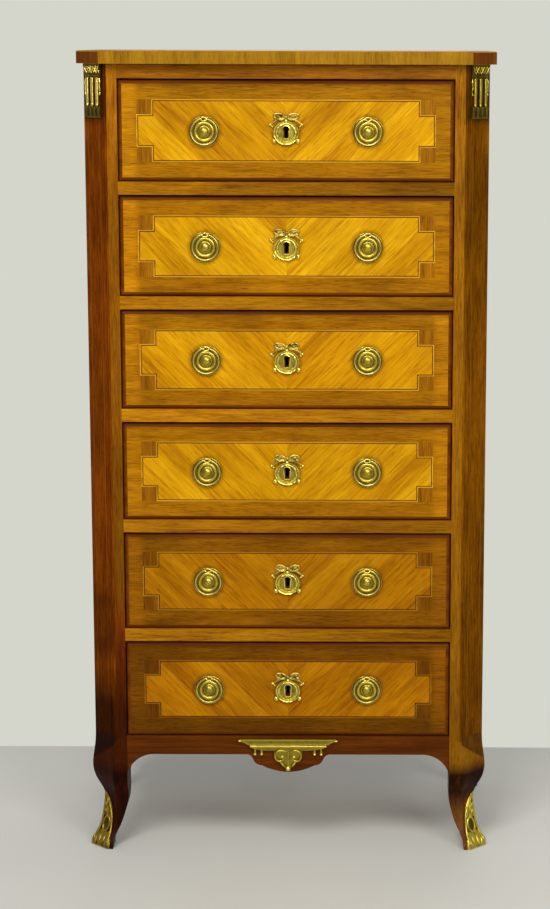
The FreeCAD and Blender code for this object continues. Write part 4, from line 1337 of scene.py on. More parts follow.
    def lay_top(self) -> None:
        """Matched field, strings and cross-grained bands on the top, and its dark canted ends."""
        right, back = LAYOUT.half_top - self.top_inset, LAYOUT.top_depth / 2 - self.top_inset
        front, cut = -back, self.top_corner - self.top_inset * (2.0 - ROOT_2)
        inner, near, far = right - self.top_band, front + self.top_band, back - self.top_band
        veneer = Veneer(Seat((0.0, 0.0, LAYOUT.height), up=(0.0, 1.0, 0.0)))
        bands = {
            "front": ([(-right + cut, front), (right - cut, front), (inner, near), (-inner, near)],
                      TOP_BAND_DEEP),
            "back": ([(-inner, far), (inner, far), (right, back), (-right, back)], TOP_BAND_DEEP),
            "left": ([(-right, front + cut), (-inner, near), (-inner, far), (-right, back)], BAND),
            "right": ([(inner, near), (right, front + cut), (right, back), (inner, far)], BAND),
            "left_corner": ([(-right + cut, front), (-inner, near), (-inner, near), (-right, front + cut)],
                            TOP_BAND_DEEP),
            "right_corner": ([(right - cut, front), (right, front + cut), (inner, near), (inner, near)],
                             TOP_BAND_DEEP),
        }
        for part, (corners, wood) in bands.items():
            seat_on(veneer.patch(f"top_{part}_band", corners, wood.material()), self.body)
        woods = {"dark_string": (0.0, DARK_STRING), "light_string": (self.string, LIGHT_STRING),
                 "field": (2.0 * self.string, TOP_FIELD)}
        for made in veneer.rings("top", (-inner, inner, near, far), woods):
            seat_on(made, self.body)
        up = (LAYOUT.carcass_top + self.end_low, LAYOUT.height - self.end_high)
        half = self.top_corner / ROOT_2 - self.end_edge
        for hand, side in HANDS:
            seat = Seat.canted(side, LAYOUT.half_top, -LAYOUT.top_depth / 2, self.top_corner)
            made = Veneer(seat, self.edge_veneer).sheet(f"top_{hand}_end", half, up, TOP_END.material())
            seat_on(made, self.body)

    def lay_sides(self) -> None:
        """Matched field, strings and a band on both sides."""
        half, high = self.side_half, LAYOUT.carcass_top - self.side_gap
        woods = {"band": (0.0, SIDE_BAND), "dark_string": (self.side_band, DARK_STRING),
                 "light_string": (self.side_band + self.string, LIGHT_STRING),
                 "field": (self.side_band + 2.0 * self.string, SIDE_FIELD)}
        for hand, side in HANDS:
            veneer = Veneer(Seat.turned((side * LAYOUT.half_body, self.side_middle, 0.0), 90.0 * side))
            for made in veneer.rings(f"{hand}_side", (-half, half, self.side_low, high), woods):
                seat_on(made, self.body)

    def build(self) -> None:
        """Dresses the solids and lays all veneers."""
        self.dress_solids()
        self.lay_cants()
        self.lay_top()
        self.lay_sides()


# Drawers

PULL_PLATE: Profile = (
    (0, 4.8), (1.5, 4.7), (3.0, 4.4), (4.4, 3.9), (5.6, 3.2), (6.5, 2.3), (7.2, 1.4), (8.0, 1.2), (8.7, 2.0),
    (9.4, 1.9), (9.9, 1.1), (10.6, 0.9), (11.2, 2.0), (12.2, 3.5), (13.6, 4.7), (15.2, 5.0), (16.6, 4.3),
    (17.7, 2.8), (18.3, 1.2), (19.2, 0.9), (23.6, 0.9), (24.2, 1.6), (25.0, 2.2), (25.6, 2.0), (26.0, 1.2),
    (26.0, 0.2), (0, 0.2),
)
PULL_NUT: Profile = ((0, -22), (5.4, -22), (6, -22.5), (6, -25.5), (5.4, -26), (0, -26))
PULL_STUD: Profile = ((0, 0), (2, 0), (2, -27.5), (1.5, -28), (0, -28))
WREATH_OVALS: Profile = (
    (12.8, 13.2), (13.0, 13.4), (14.0, 14.2), (15.6, 15.4), (17.0, 16.4),
    (18.0, 17.2), (19.4, 18.4), (20.8, 19.4), (21.8, 20.2), (22.3, 20.6),
)
WREATH_LEVELS = (0.3, 1.6, 3.4, 4.8, 4.6, 3.2, 4.0, 4.4, 3.0, 0.3)
WREATH_SWINGS = (0.0, 0.0, 0.1, 0.2, 0.2, 0.0, 0.2, 0.3, 0.2, 0.0)
WREATH_LOBES = 14.0
WREATH_DROP = -1.3
DISH_OVALS: Profile = ((9.4, 12.4), (13.6, 15.0), (13.6, 15.0))
DISH_LEVELS = (0.3, 1.4, 0.8, 1.0, 0.3)
COLLAR_STEPS = (0.0, 0.0, 0.6, 2.4, 2.9)
COLLAR_LEVELS = (0.3, 2.6, 3.3, 3.0, 0.3)


@dataclass(frozen=True)
class Keyhole:
    """Outline of a keyhole about its middle: an upright slot with a round set above."""

    half_slot: float = 4.0
    slot_top: float = 5.2
    slot_low: float = 9.6
    head: float = 5.0
    head_up: float = 4.6

    def reach(self, angle: Array) -> Array:
        """Reach of the outline along each ray: the farther of the slot and the round.

        The slot reaches the lesser of its half width / |cos| and its end / |sin|; the round of radius r,
        raised by h, reaches h sin + root(r^2 - h^2 cos^2) where the ray meets it.

        Args:
            angle: Angles of the rays.

        Returns:
            One reach per ray.
        """
        cos, sin = np.cos(angle), np.sin(angle)
        ends = np.where(sin > 0, self.slot_top, self.slot_low)
        tiny = 1e-6
        aside = self.half_slot / np.maximum(np.abs(cos), tiny)
        slot = np.minimum(aside, ends / np.maximum(np.abs(sin), tiny))
        inside = self.head**2 - (self.head_up * cos) ** 2
        meets = (inside > 0) & (sin > 0)
        head = np.where(meets, self.head_up * sin + np.sqrt(np.maximum(inside, 0.0)), 0.0)
        return np.maximum(slot, head)


@dataclass(frozen=True)
class Drawer:
    """One drawer: marquetry front, ring pulls, escutcheon and lock."""

    number: int
    face: float = -180.0
    edge_depth: float = 8.0
    front_low: float = 0.3
    front_high: float = 169.9
    half_length: float = 222.0
    half_height: float = 49.0
    tab_length: float = 247.5
    tab_height: float = 24.0
    dark: float = 1.5
    light: float = 3.0
    panel_half: float = 275.0
    panel_low: float = 7.3
    panel_high: float = 162.9
    middle: float = 85.1
    hole_half: float = 6.0
    hole_reach: float = 11.0
    keyhole: float = 83.25
    pull_level: float = 83.75
    pull_half: float = 137.5
    wreath_reach: float = 21.0
    plate_reach: float = 25.0
    dirt: float = 0.5
    fade: float = 7.5

    @property
    def name(self) -> str:
        """Name of the drawer's body."""
        return f"drawer_{self.number}"

    @property
    def floor(self) -> float:
        """Level of the drawer's floor."""
        return LAYOUT.floor(self.number)

    def within(self, a: Array, u: Array, step: float) -> Array:
        """Whether points lie in the notched field, grown by a step on every edge.

        Args:
            a: Across from the middle.
            u: Up from the field's middle.
            step: Growth.

        Returns:
            Truth of each point.
        """
        body = (np.abs(a) < self.half_length + step) & (np.abs(u) < self.half_height + step)
        tabs = (np.abs(a) < self.tab_length + step) & (np.abs(u) < self.tab_height + step)
        return body | tabs

    def dirt_and_shading(self) -> tuple[Mask, Mask]:
        """Dirt round the mounts on the field, and on the wood round the field lighter band ends, painted
        shadow under the rail above and painted shade near the floor.

        Returns:
            Both masks.
        """
        mounts = [(0.0, self.wreath_reach), (self.pull_half, self.plate_reach)]
        dirt = round_mounts(self.floor + self.pull_level, mounts, self.dirt, self.fade)
        tint, top = TINTS[self.number], self.floor + self.panel_high
        # Band ends lighter; painted shadow of the rail along the top; painted shade towards the floor on the
        # lowest drawer.
        tone_ramps = summed(beyond(X, -246.0, -258.0, -tint.left), beyond(X, 246.0, 258.0, -tint.right),
                        beyond(Z, top - 6.0, top, 0.3), beyond(Z, 252.0, 228.0, 0.25))
        return dirt, tone_ramps

    def lay_front(self) -> None:
        """Field, strings, corner blocks and bands on the drawer's face."""
        veneer = Veneer(Seat((0.0, self.face, self.floor + self.middle)))
        steps = [0.0, self.dark, self.light]
        drop = self.keyhole - self.middle
        across = [s * (e + d) for s in (-1, 1) for e in (self.half_length, self.tab_length) for d in steps]
        across += [-self.panel_half, self.panel_half, -self.hole_half, self.hole_half]
        up = [s * (e + d) for s in (-1, 1) for e in (self.half_height, self.tab_height) for d in steps]
        up += [self.panel_low - self.middle, self.panel_high - self.middle]
        up += [drop - self.hole_reach, drop + self.hole_reach]

        def notch(a: Array, u: Array) -> Array:
            """Whether points lie in the corner blocks."""
            inner = (np.abs(a) < self.tab_length + self.light) & (np.abs(u) < self.half_height + self.light)
            return inner & ~self.within(a, u, self.light)

        def open_hole(a: Array, u: Array) -> Array:
            """Whether points lie under the escutcheon's keyhole."""
            return (np.abs(a) < self.hole_half) & (np.abs(u - drop) < self.hole_reach)

        def ring(a: Array, u: Array, inner: float, outer: float) -> Array:
            """Whether points lie between two outlines of the field."""
            return self.within(a, u, outer) & ~self.within(a, u, inner)

        parts = {
            "field": (FIELD, lambda a, u: self.within(a, u, 0.0) & ~open_hole(a, u)),
            "dark_string": (DARK_STRING, lambda a, u: ring(a, u, 0.0, self.dark)),
            "light_string": (LIGHT_STRING, lambda a, u: ring(a, u, self.dark, self.light)),
            "corner_blocks": (BLOCK, notch),
            "bands": (BAND, lambda a, u: ~self.within(a, u, self.light) & ~notch(a, u)),
        }
        tint, (dirt, tone_ramps) = TINTS[self.number], self.dirt_and_shading()
        for part, (wood, keep) in parts.items():
            tone, dirt_and_shade = (tint.field, dirt) if part == "field" else (tint.band, tone_ramps)
            finish = replace(wood.toned(f"{wood.name}_{self.number}", tone), dirt_and_shade=dirt_and_shade)
            made = veneer.cells(f"{self.name}_{part}", across, up, keep, finish.material())
            seat_on(made, self.name)

    def add_pull(self, metal: Casting, bright: Casting, dull: Casting, side: int) -> None:
        """Turned plate of a ring pull with its knuckle, stud and nut.

        Args:
            metal: Casting of the plate.
            bright: Casting of the burnished lip that holds the ring.
            dull: Casting of the dark bud behind the lip, which stands for painted shade in the knuckle's eye.
            side: -1 for the left pull and 1 for the right.
        """
        seat = Seat((side * self.pull_half, self.face, self.floor + self.pull_level))
        metal.add(seat, turned(PULL_PLATE, 64))
        metal.strand(seat, [(-6.4, 22.4, 2.6), (0, 22.8, 3.2), (6.4, 22.4, 2.6)],
                     [2.2, 3.0, 3.2, 3.0, 2.2], [1.6, 2.4, 2.6, 2.4, 1.6], 14, 14)
        # Dark bud in the knuckle's eye: painted shade.
        dull.add(seat, bud((0, 22.2, 5.0), (3.8, 1.7, 1.5), 0.0, 8, 14))
        lip = oval((0, 22.6, 4.6), 6.0, 4.6, 192.0, 348.0, 18)
        bright.add(seat, sweep(lip, [0.5, 1.0, 1.2, 1.0, 0.5], [0.6, 1.2, 1.5, 1.2, 0.6], 10))
        metal.add(seat, turned(PULL_NUT, 6))
        metal.add(seat, turned(PULL_STUD, 16))

    def add_escutcheon(self, bright: Casting, dull: Casting) -> None:
        """Dished oval round the keyhole in a broad burnished ring with ears, feet and a knob.

        Each row is a reach along the rays and a level. The dish and collar start at the keyhole; the
        wreath's rows are ovals about a point below it, and its crown swings with the cosine of its lobes.

        Args:
            bright: Casting of the burnished ring.
            dull: Casting of the dish.
        """
        seat = Seat((0.0, self.face, self.floor + self.keyhole))
        angle = np.linspace(0.0, FULL_TURN, 84, endpoint=False)
        ray = np.stack([np.cos(angle), np.sin(angle), np.zeros_like(angle)], -1)
        hole = Keyhole().reach(angle)

        def rows(reaches: Sequence[Array], levels: Array) -> Array:
            """Points at the reaches along the rays, raised to the levels."""
            return np.stack(reaches)[..., None] * ray + levels[..., None] * OUT

        dish = [hole + 0.8, hole + 0.8] + [ellipse_reach(*size, angle) for size in DISH_OVALS]
        dull.add(seat, rows(dish, np.array(DISH_LEVELS)[:, None]), ring=True)
        collar = [hole + step for step in COLLAR_STEPS]
        bright.add(seat, rows(collar, np.array(COLLAR_LEVELS)[:, None]), ring=True)
        swing = np.array(WREATH_SWINGS)[:, None] * np.cos(WREATH_LOBES * angle)
        ovals = [ellipse_reach(*size, angle) for size in WREATH_OVALS]
        wreath = rows(ovals, np.array(WREATH_LEVELS)[:, None] + swing)
        bright.add(seat, wreath + np.array([0.0, WREATH_DROP, 0.0]), ring=True)
        bright.add(seat, bud((0, 18.6, 3.6), (3.9, 3.2, 3.2), 0.0, 9, 14))
        for place, half, tilt in (
            ((26.6, 12.6), (3.1, 2.4, 2.4), -12.0),
            ((23.4, 9.6), (2.2, 1.5, 1.5), 40.0),
            ((20.2, -14.8), (4.9, 3.7, 3.5), 62.0),
        ):
            bright.add(seat, bud((*place, 2.4), half, tilt, 8, 12), pair=True)

    def add_bow(self, metal: Casting) -> None:
        """Crumpled ribbon bow above the keyhole with two short tails.

        Args:
            metal: Casting that it goes into.
        """
        seat, tilt = Seat((0.0, self.face, self.floor + self.keyhole)), 14.0
        cos, sin = math.cos(math.radians(tilt)), math.sin(math.radians(tilt))
        turn = np.array([[cos, sin, 0.0], [-sin, cos, 0.0], [0.0, 0.0, 1.0]])
        metal.add(seat, bud((11.6, 25.8, 0.8), (9.0, 5.0, 1.5), tilt, 7, 20), pair=True)
        bow = oval((0, 0, 2.2), 8.8, 4.9, 0, 360, 33)[:-1] @ turn + np.array([11.6, 25.8, 0.0])
        metal.add(seat, sweep(bow, [1.9], [2.0], 10, closed=True), ring=True, pair=True)
        for place, half, lean in (
            ((6.4, 28.6), (3.4, 1.5, 2.0), 30.0),
            ((12.6, 26.4), (4.4, 1.3, 2.2), 8.0),
            ((17.6, 22.4), (4.4, 2.2, 2.2), -40.0),
        ):
            metal.add(seat, bud((*place, 2.4), half, lean, 7, 10), pair=True)
        metal.add(seat, bud((0, 25.2, 2.8), (3.2, 3.4, 2.8), 0.0, 9, 12))
        metal.strand(seat, [(3.0, 23.0, 2.0), (12.0, 21.0, 2.2), (19.4, 17.4, 2.0), (24.6, 13.4, 1.8)],
                     [1.6, 2.1, 1.9, 1.4], [1.1, 1.5, 1.4, 1.0], 20, 10, pair=True, groove=0.3)

    def dress_solids(self) -> None:
        """Finishes the drawer's own solids: edge moulding, oak box, lock and rings."""
        low, high = self.floor + self.front_low, self.floor + self.front_high
        # Painted shade on the edge moulding: the rail's shadow along its top and shade along its underside.
        dirt_and_shade = either(beyond(Z, high - 7.0, high, 0.72), beyond(Z, low + 4.0, low, 0.25))
        inside = beyond(Y, self.face + self.edge_depth, self.face + self.edge_depth + 0.5)
        finishes = {
            "front": polished(f"{self.name}_front_stock", replace(EDGE, dirt_and_shade=dirt_and_shade), (OAK_ACROSS, inside)),
            "box": OAK_DEEP.material(),
            "lock": STEEL_AND_SHADE.material(),
            "lock_bolt": STEEL_AND_SHADE.material(),
            "left_ring": GILT_RING.material(),
            "right_ring": GILT_RING.material(),
        }
        for part, material in finishes.items():
            dress(f"{self.name}_{part}", material)

    def build(self) -> None:
        """Dresses the drawer's solids, lays its veneers and casts its gilt plates."""
        self.dress_solids()
        self.lay_front()
        names = ("gilt_plates", "gilt_ring", "gilt_bow", "gilt_dish", "pull_eye_shadows")
        plates, ring, bow, dish, eye_shadows = (Casting(f"{self.name}_{part}") for part in names)
        for _, side in HANDS:
            self.add_pull(plates, ring, eye_shadows, side)
        self.add_escutcheon(ring, dish)
        self.add_bow(bow)
        seat_on(plates.cast(GILT_PULL.material()), self.name, [f"{self.name}_plates"])
        for casting, finish in ((ring, GILT_WREATH), (bow, GILT_BOW), (dish, GILT_DULL), (eye_shadows, GILT_DARK)):
            seat_on(casting.cast(finish.material()), self.name)


# Mounts


def gild(casting: Casting, metal: Metal, replaced: Sequence[str] = ()) -> None:
    """Casts a mount and seats it on the carcass."""
    seat_on(casting.cast(metal.material()), "carcass", replaced)


@dataclass(frozen=True)
class CornerMounts:
    """Mounts at the head of the canted corners: leaf capital, three rods and a block with drops."""

    low: float = 1278.6
    spacing: float = 12.8

    def add_ground(self, metal: Casting, seat: Seat) -> None:
        """Dark capital and foot block with their low drops.

        Args:
            metal: Casting that they go into.
            seat: Seat of the mount.
        """
        capital = [(19.4, 66.0, 0.2), (19.8, 66.2, 2.2), (19.8, 69.0, 2.8), (20.2, 75.0, 3.4),
                   (21.0, 82.0, 4.6), (21.4, 87.0, 5.6), (21.4, 90.0, 5.6), (21.4, 90.0, 0.2)]
        block = [(19.6, 0.4, 0.2), (20.0, 0.6, 2.2), (20.0, 3.2, 2.8), (19.6, 4.0, 2.2), (19.8, 10.0, 2.6),
                 (20.4, 17.0, 3.2), (20.0, 20.4, 3.0), (19.6, 20.8, 0.2)]
        for profile in (capital, block):
            metal.add(seat, moulding(profile))
        for place in (-1.25, -0.42, 0.42, 1.25):
            x = place * self.spacing
            drop = [(x, 3.4, 2.4), (x, 11.0, 3.2), (x, 18.6, 3.2)]
            metal.strand(seat, drop, [1.2, 2.2, 3.0], [1.2, 1.8, 2.2], 12, 12)
        for x in (-self.spacing, 0.0, self.spacing):
            metal.add(seat, bud((x, 70.6, 3.2), (4.6, 2.0, 2.0), 0.0, 7, 12))

    def add_relief(self, metal: Casting, seat: Seat) -> None:
        """Bright rods, leaf tips, crossing leaf edges and the strands beside the rods.

        Args:
            metal: Casting that they go into.
            seat: Seat of the mount.
        """
        for x in (-self.spacing, 0.0, self.spacing):
            rod = [(x, 22.0, 2.8), (x, 44.0, 3.2), (x, 67.0, 3.0)]
            metal.strand(seat, rod, [2.7, 3.0, 3.1], [2.8, 3.2, 3.2], 14, 14)
            metal.add(seat, bud((x, 22.8, 3.6), (3.0, 2.6, 2.6), 90.0, 9, 12))
            metal.add(seat, bud((x, 84.6, 5.8), (4.6, 2.0, 1.8), 90.0, 8, 10))
            for step in (-self.spacing, self.spacing):
                edge = [(x, 74.6, 4.0), (x + 0.22 * step, 79.6, 4.8), (x + 0.46 * step, 86.4, 5.8)]
                metal.strand(seat, edge, [0.6, 1.2, 0.8], [0.8, 1.4, 1.0], 10, 8)
            metal.add(seat, bud((x + self.spacing / 2, 77.4, 4.4), (2.4, 1.2, 1.3), 90.0, 7, 8))
        beside = [(18.2, 66.0, 2.2), (19.4, 60.0, 2.8), (18.6, 52.0, 2.8), (19.8, 44.0, 2.2)]
        metal.strand(seat, beside, [0.8, 1.7, 1.1, 1.6, 0.8], [0.9, 1.8, 1.3, 1.6, 0.9], 26, 12, pair=True)
        metal.add(seat, bud((18.6, 40.6, 2.4), (2.9, 1.6, 1.8), 78.0, 8, 10), pair=True)

    def build(self) -> None:
        """Casts the ground and the relief of both mounts."""
        ground, finishes = Casting("corner_mounts_ground"), {"left": GILT_BRIGHT, "right": GILT_WORN}
        for hand, side in HANDS:
            seat = Seat.canted(side, LAYOUT.half_body, LAYOUT.front, LAYOUT.cant, self.low)
            self.add_ground(ground, seat)
            relief = Casting(f"{hand}_corner_relief")
            self.add_relief(relief, seat)
            gild(relief, finishes[hand])
        gild(ground, GILT_DARK, ["corner_mounts"])


@dataclass(frozen=True)
class ApronMount:
    """Bracket-shaped mount on the apron: moulded ledge, drops and a scrolled leaf with a bud."""

    seat: Seat = Seat((0.0, LAYOUT.front, 0.0))
    drops: tuple[float, float] = (46.5, 58.0)

    def add_ground(self, metal: Casting) -> None:
        """Smooth ledge, tapering tier, drops and the leaf with its scrolls.

        Args:
            metal: Casting that they go into.
        """
        ledge = [(82.0, 203.0, 0.2), (83.0, 203.0, 9.0), (84.4, 202.4, 10.0), (86.0, 200.8, 10.2),
                 (86.6, 199.4, 9.2), (80.0, 197.0, 7.8), (74.0, 194.2, 7.4), (70.6, 191.6, 6.4),
                 (70.0, 190.6, 0.2)]
        tier = [(66.0, 190.6, 0.2), (67.4, 190.2, 6.4), (67.0, 188.2, 7.4), (63.0, 185.8, 6.8),
                (56.0, 183.6, 5.4), (50.0, 181.8, 4.4), (46.0, 180.6, 3.8), (45.0, 180.2, 0.2)]
        for profile in (ledge, tier):
            metal.add(self.seat, moulding(profile, 24))
        for x in self.drops:
            drop = [(x, 184.6, 3.4), (x, 179.0, 3.6), (x, 174.0, 3.4)]
            metal.strand(self.seat, drop, [1.8, 2.2, 3.0], [1.8, 2.2, 2.8], 12, 12, pair=True)
        heart = [(0, 182.0, 1.4), (0, 170.0, 1.6), (0, 158.0, 1.6), (0, 147.5, 1.4)]
        metal.strand(self.seat, heart, [22.0, 24.5, 24.5, 21.5, 16.0, 10.0, 5.0, 2.5],
                     [1.6, 2.2, 2.4, 2.4, 2.2, 1.8, 1.4, 1.0], 30, 24, side=-ACROSS)
        scroll = [(3.0, 178.0, 3.4), (12.0, 180.6, 4.0), (20.6, 177.0, 4.2), (22.4, 168.6, 4.2),
                  (16.4, 161.6, 4.2), (9.6, 163.6, 4.0), (7.6, 169.0, 3.8), (11.0, 172.4, 3.8)]
        metal.strand(self.seat, scroll, [1.2, 2.0, 2.5, 2.5, 2.1, 1.7, 1.2],
                     [1.4, 2.4, 2.8, 2.8, 2.4, 2.0, 1.4], 44, 12, pair=True)
        leaf = [(13.5, 159.6, 3.0), (9.0, 154.6, 3.6), (4.4, 150.4, 3.2)]
        metal.strand(self.seat, leaf, [1.0, 2.2, 1.2], [1.0, 2.2, 1.2], 14, 10, pair=True)
        stem = [(0, 179.0, 3.2), (0, 168.0, 3.8), (0, 152.0, 3.4)]
        metal.strand(self.seat, stem, [1.4, 3.0, 1.6, 2.2, 1.2], [1.4, 2.4, 1.6, 2.0, 1.2], 20, 12)

    def add_highlights(self, metal: Casting) -> None:
        """Brighter gilt at points that stand for painted highlights: the ledge's ends, the tier's upper line,
        drop ends, bosses and the bud.

        Args:
            metal: Casting that they go into.
        """
        metal.add(self.seat, bud((84.6, 199.6, 8.6), (3.6, 1.5, 2.8), 8.0, 8, 14), pair=True)
        line = [(-66.8, 189.8, 7.2), (0, 189.8, 7.2), (66.8, 189.8, 7.2)]
        metal.strand(self.seat, line, [0.8], [0.9], 30, 8)
        for x in self.drops:
            metal.add(self.seat, bud((x, 174.2, 4.6), (2.8, 2.2, 2.4), 0.0, 8, 12), pair=True)
        metal.add(self.seat, bud((10.4, 169.4, 5.0), (2.6, 2.6, 2.6), 0.0, 8, 12), pair=True)
        metal.add(self.seat, bud((0, 147.6, 3.2), (4.4, 4.4, 4.0), 0.0, 10, 16))

    def build(self) -> None:
        """Casts the ground and the brighter points that stand for painted highlights."""
        ground, tips = Casting("apron_mount_ground"), Casting("apron_mount_highlights")
        self.add_ground(ground)
        self.add_highlights(tips)
        gild(ground, GILT_MOUNT, ["apron_mount"])
        # Brighter gilt as painted highlights.
        gild(tips, GILT_BRIGHT)


@dataclass(frozen=True)
class Sabots:
    """Foot mounts on the front legs' canted faces: scrolled toe, open oval and leaf that leans outwards."""

    eye: tuple[float, float] = (1.8, 38.0)

    def add_ground(self, metal: Casting, seat: LegSeat) -> None:
        """Dark sheet under the relief of one foot, cut away round the oval.

        Args:
            metal: Casting that it goes into.
            seat: Face of the leg.
        """
        toe = [(0, 0.6, 0.6), (0, 8.0, 0.8), (0.6, 16.0, 0.8), (1.4, 26.0, 0.6)]
        metal.strand(seat, toe, [24.0, 24.0, 22.0, 18.0, 14.0], [1.2, 1.8, 1.8, 1.6, 1.0],
                     20, 36, side=-ACROSS)
        leaf = [(2.4, 50.0, 0.6), (3.2, 62.0, 0.8), (6.4, 76.0, 0.8), (11.0, 92.0, 0.6)]
        metal.strand(seat, leaf, [11.0, 10.0, 7.6, 4.4, 1.0], [1.2, 1.7, 1.7, 1.4, 0.8], 24, 18)

    def add_relief(self, metal: Casting, seat: LegSeat) -> None:
        """Oval, strands, leaf lobes, palmette and scrolls of one foot.

        Args:
            metal: Casting that they go into.
            seat: Face of the leg.
        """
        ring = oval((*self.eye, 1.8), 8.4, 12.0, 0, 360, 49)[:-1]
        metal.add(seat, sweep(ring, [2.0], [2.0], 12, closed=True), ring=True)
        inner = [(-21.0, 6.0, 1.6), (-16.5, 20.0, 2.2), (-11.5, 38.0, 2.2), (-8.0, 56.0, 2.2),
                 (-1.0, 70.0, 2.0), (6.0, 82.0, 1.6)]
        metal.strand(seat, inner, [1.2, 2.4, 2.0, 2.2, 1.6, 0.7], [1.2, 2.2, 2.0, 2.2, 1.6, 0.8],
                     40, 12, groove=0.35)
        outer = [(20.5, 7.0, 1.6), (17.0, 22.0, 2.2), (14.6, 42.0, 2.2), (13.2, 60.0, 2.2), (12.8, 78.0, 1.8),
                 (12.2, 95.0, 1.0)]
        metal.strand(seat, outer, [1.2, 2.4, 2.0, 2.2, 1.8, 0.6], [1.2, 2.2, 2.0, 2.2, 1.8, 0.8],
                     40, 12, groove=0.35)
        vein = [(2.2, 51.0, 1.8), (3.4, 62.0, 2.4), (7.0, 78.0, 2.0), (10.6, 90.0, 1.2)]
        metal.strand(seat, vein, [1.8, 2.2, 1.6, 0.8], [1.6, 2.2, 1.8, 0.8], 24, 12)
        for x, up, tilt in ((-3.4, 60.0, 124.0), (8.6, 59.0, 64.0), (0.8, 70.0, 118.0), (10.0, 70.0, 72.0)):
            metal.add(seat, bud((x, up, 2.0), (4.8, 1.5, 1.8), tilt, 8, 10))
        for x, up, size, tilt in ((-13.6, 9.4, 4.4, 22.0), (-5.4, 12.2, 5.4, 8.0), (4.6, 12.2, 5.6, -8.0),
                                  (13.2, 9.8, 4.8, -22.0)):
            metal.add(seat, bud((x, up, 2.0), (0.62 * size, 1.45 * size, 2.3), tilt, 9, 14))
        for x, turns in ((-20.0, 1.2), (20.4, -1.2)):
            scroll = volute((x, 13.0, 2.2), 4.4, 90.0 - math.copysign(110.0, x), turns, 24)
            metal.add(seat, sweep(scroll, [1.1, 1.4, 0.9], [1.2, 1.8, 1.2], 10))
        lip = [(-24.0, 1.8, 1.6), (0.0, 2.2, 2.2), (24.0, 1.8, 1.6)]
        metal.strand(seat, lip, [1.2], [1.4], 24, 10)

    def build(self) -> None:
        """Casts each sabot and the dark sheets in their ovals, which stand for painted shade."""
        # The left sabot takes the darker copy as painted shade.
        eye_shadows, finishes = Casting("sabot_eye_shadows"), {"left": GILT_FOOT_SHADED, "right": GILT_FOOT}
        for hand, side in HANDS:
            metal, seat = Casting(f"{hand}_sabot"), LegSeat(side)
            self.add_ground(metal, seat)
            self.add_relief(metal, seat)
            # Dark sheet in the oval: painted shade in the opening.
            eye_shadows.add(seat, bud((*self.eye, 0.4), (7.6, 11.0, 0.9), 0.0, 8, 20))
            gild(metal, finishes[hand], ["sabots"])
        gild(eye_shadows, GILT_DARK)


# Studio


@dataclass(frozen=True)
class Lamp:
    """Soft square light aimed at a point."""

    name: str
    place: Triple
    aim: Triple
    size: float
    power: float
    tint: Triple = (1.0, 0.98, 0.94)

    def build(self) -> None:
        """Links the lamp."""
        data = bpy.data.lights.new(self.name, "AREA")
        data.shape, data.size, data.energy, data.color = "SQUARE", self.size, self.power, self.tint
        made = bpy.data.objects.new(self.name, data)
        made.location = self.place
        made.rotation_euler = (Vector(self.aim) - Vector(self.place)).to_track_quat("-Z", "Y").to_euler()
        bpy.context.scene.collection.objects.link(made)


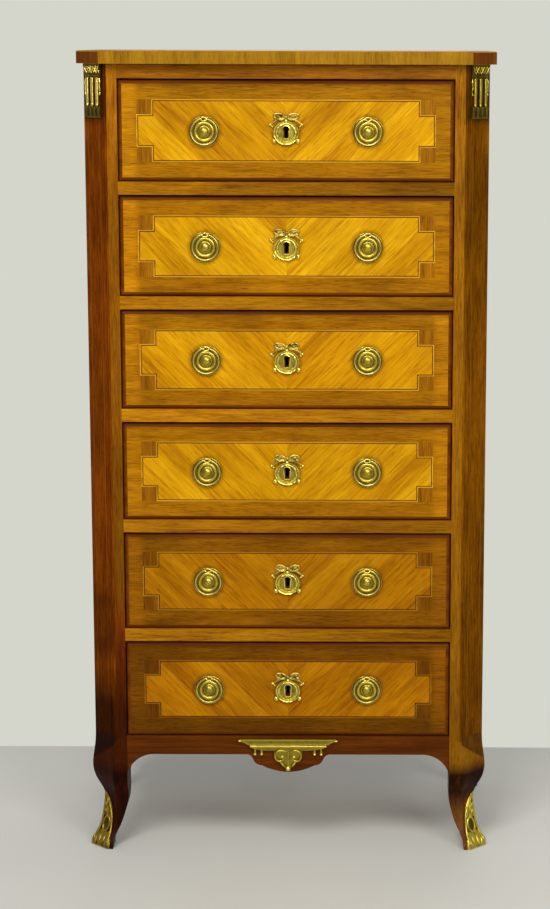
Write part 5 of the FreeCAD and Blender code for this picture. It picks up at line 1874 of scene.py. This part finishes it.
@dataclass(frozen=True)
class Studio:
    """Pale floor, soft light and a camera level with the top."""

    camera: Triple = (0.138, -4.0585, 1.41)
    tilt: Triple = (79.75, -0.184, -0.035)
    lens: float = 90.91
    shift: float = -0.1048
    sensor: float = 36.0
    sight: float = 200.0
    floor_half: float = 3.2
    floor_back: float = 0.41
    floor_lines: int = 9
    lamps: tuple[Lamp, ...] = (
        Lamp("key", (-0.9, -3.0, 3.9), (0.0, 0.0, 1.0), 1.6, 108.0),
        Lamp("front", (0.5, -4.2, 2.0), (0.0, 0.0, 0.9), 0.7, 32.0),
        Lamp("fill", (2.0, -3.6, 3.0), (0.0, 0.0, 0.9), 2.0, 70.0),
        Lamp("rim", (0.6, 3.2, 3.2), (0.0, 0.0, 0.9), 2.6, 30.0),
    )

    def lay_floor(self) -> None:
        """Pale matt floor with a faint cloudiness."""
        material = bpy.data.materials.new("floor_paint")
        n = Nodes.of(material)
        cloud = n.noise(n.place(), 2.5, 5.0)
        colour = n.mix(cloud, paint((0.58, 0.58, 0.54)), paint((0.64, 0.64, 0.60)))
        n.surface({"Base Color": colour, "Roughness": 0.7})
        lines = self.floor_lines
        across = np.linspace(-self.floor_half, self.floor_half, lines) / MM
        x, y = np.meshgrid(across, np.linspace(-2.0 * self.floor_half, self.floor_back, lines) / MM)
        quads = grid_faces(lines, lines, False, False, 0)
        new_object("floor", np.stack([x, y, np.zeros_like(x)], -1), quads, material)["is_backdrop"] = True

    def hang_sky(self) -> None:
        """Pale surround that the camera and the metal see, with a plain level of light from it."""
        world = bpy.data.worlds.new("studio")
        bpy.context.scene.world = world
        n = Nodes.of(world)
        ray = n.add("LightPath").outputs
        mirrored = n.math("MAXIMUM", ray["Is Glossy Ray"], ray["Is Transmission Ray"])
        seen = n.math("MAXIMUM", ray["Is Camera Ray"], mirrored)
        depth = n.split(n.add("TexCoord").outputs["Generated"])[Y]
        pale = n.mix(n.spread(depth, -0.35, 0.15), paint((0.10, 0.10, 0.09)), paint((0.66, 0.67, 0.60)))
        shown = n.add("Background", {"Color": pale, "Strength": 1.0})
        light = n.add("Background", {"Color": paint((0.95, 0.97, 1.0)), "Strength": 0.35})
        mixed = n.add("MixShader", {0: seen, 1: light.outputs[0], 2: shown.outputs[0]})
        n.add("OutputWorld", {0: mixed.outputs[0]})

    def build(self) -> None:
        """Builds the floor, light and camera."""
        bpy.context.scene.view_settings.view_transform = "Standard"
        self.lay_floor()
        self.hang_sky()
        for lamp in self.lamps:
            lamp.build()
        data = bpy.data.cameras.new("camera")
        data.lens, data.sensor_width = self.lens, self.sensor
        data.shift_x, data.clip_end = self.shift, self.sight
        made = bpy.data.objects.new("camera", data)
        made.location = self.camera
        made.rotation_euler = tuple(map(math.radians, self.tilt))
        bpy.context.scene.collection.objects.link(made)
        bpy.context.scene.camera = made


def write_sizes() -> None:
    """Reads the solids' box and the dressed chest's box; the result is not kept."""
    boxes = {"cad": CAD_BOX, "visual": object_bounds()}
    {name: [list(corner) for corner in box] for name, box in boxes.items()}


def main() -> None:
    """Builds the studio and every part of the chest in order."""
    logging.basicConfig(level=logging.INFO, format="%(name)s: %(message)s")
    Studio().build()
    Carcass().build()
    for number in range(1, LAYOUT.drawers + 1):
        Drawer(number).build()
    CornerMounts().build()
    ApronMount().build()
    Sabots().build()
    write_sizes()


if __name__ == "__main__":
    main()
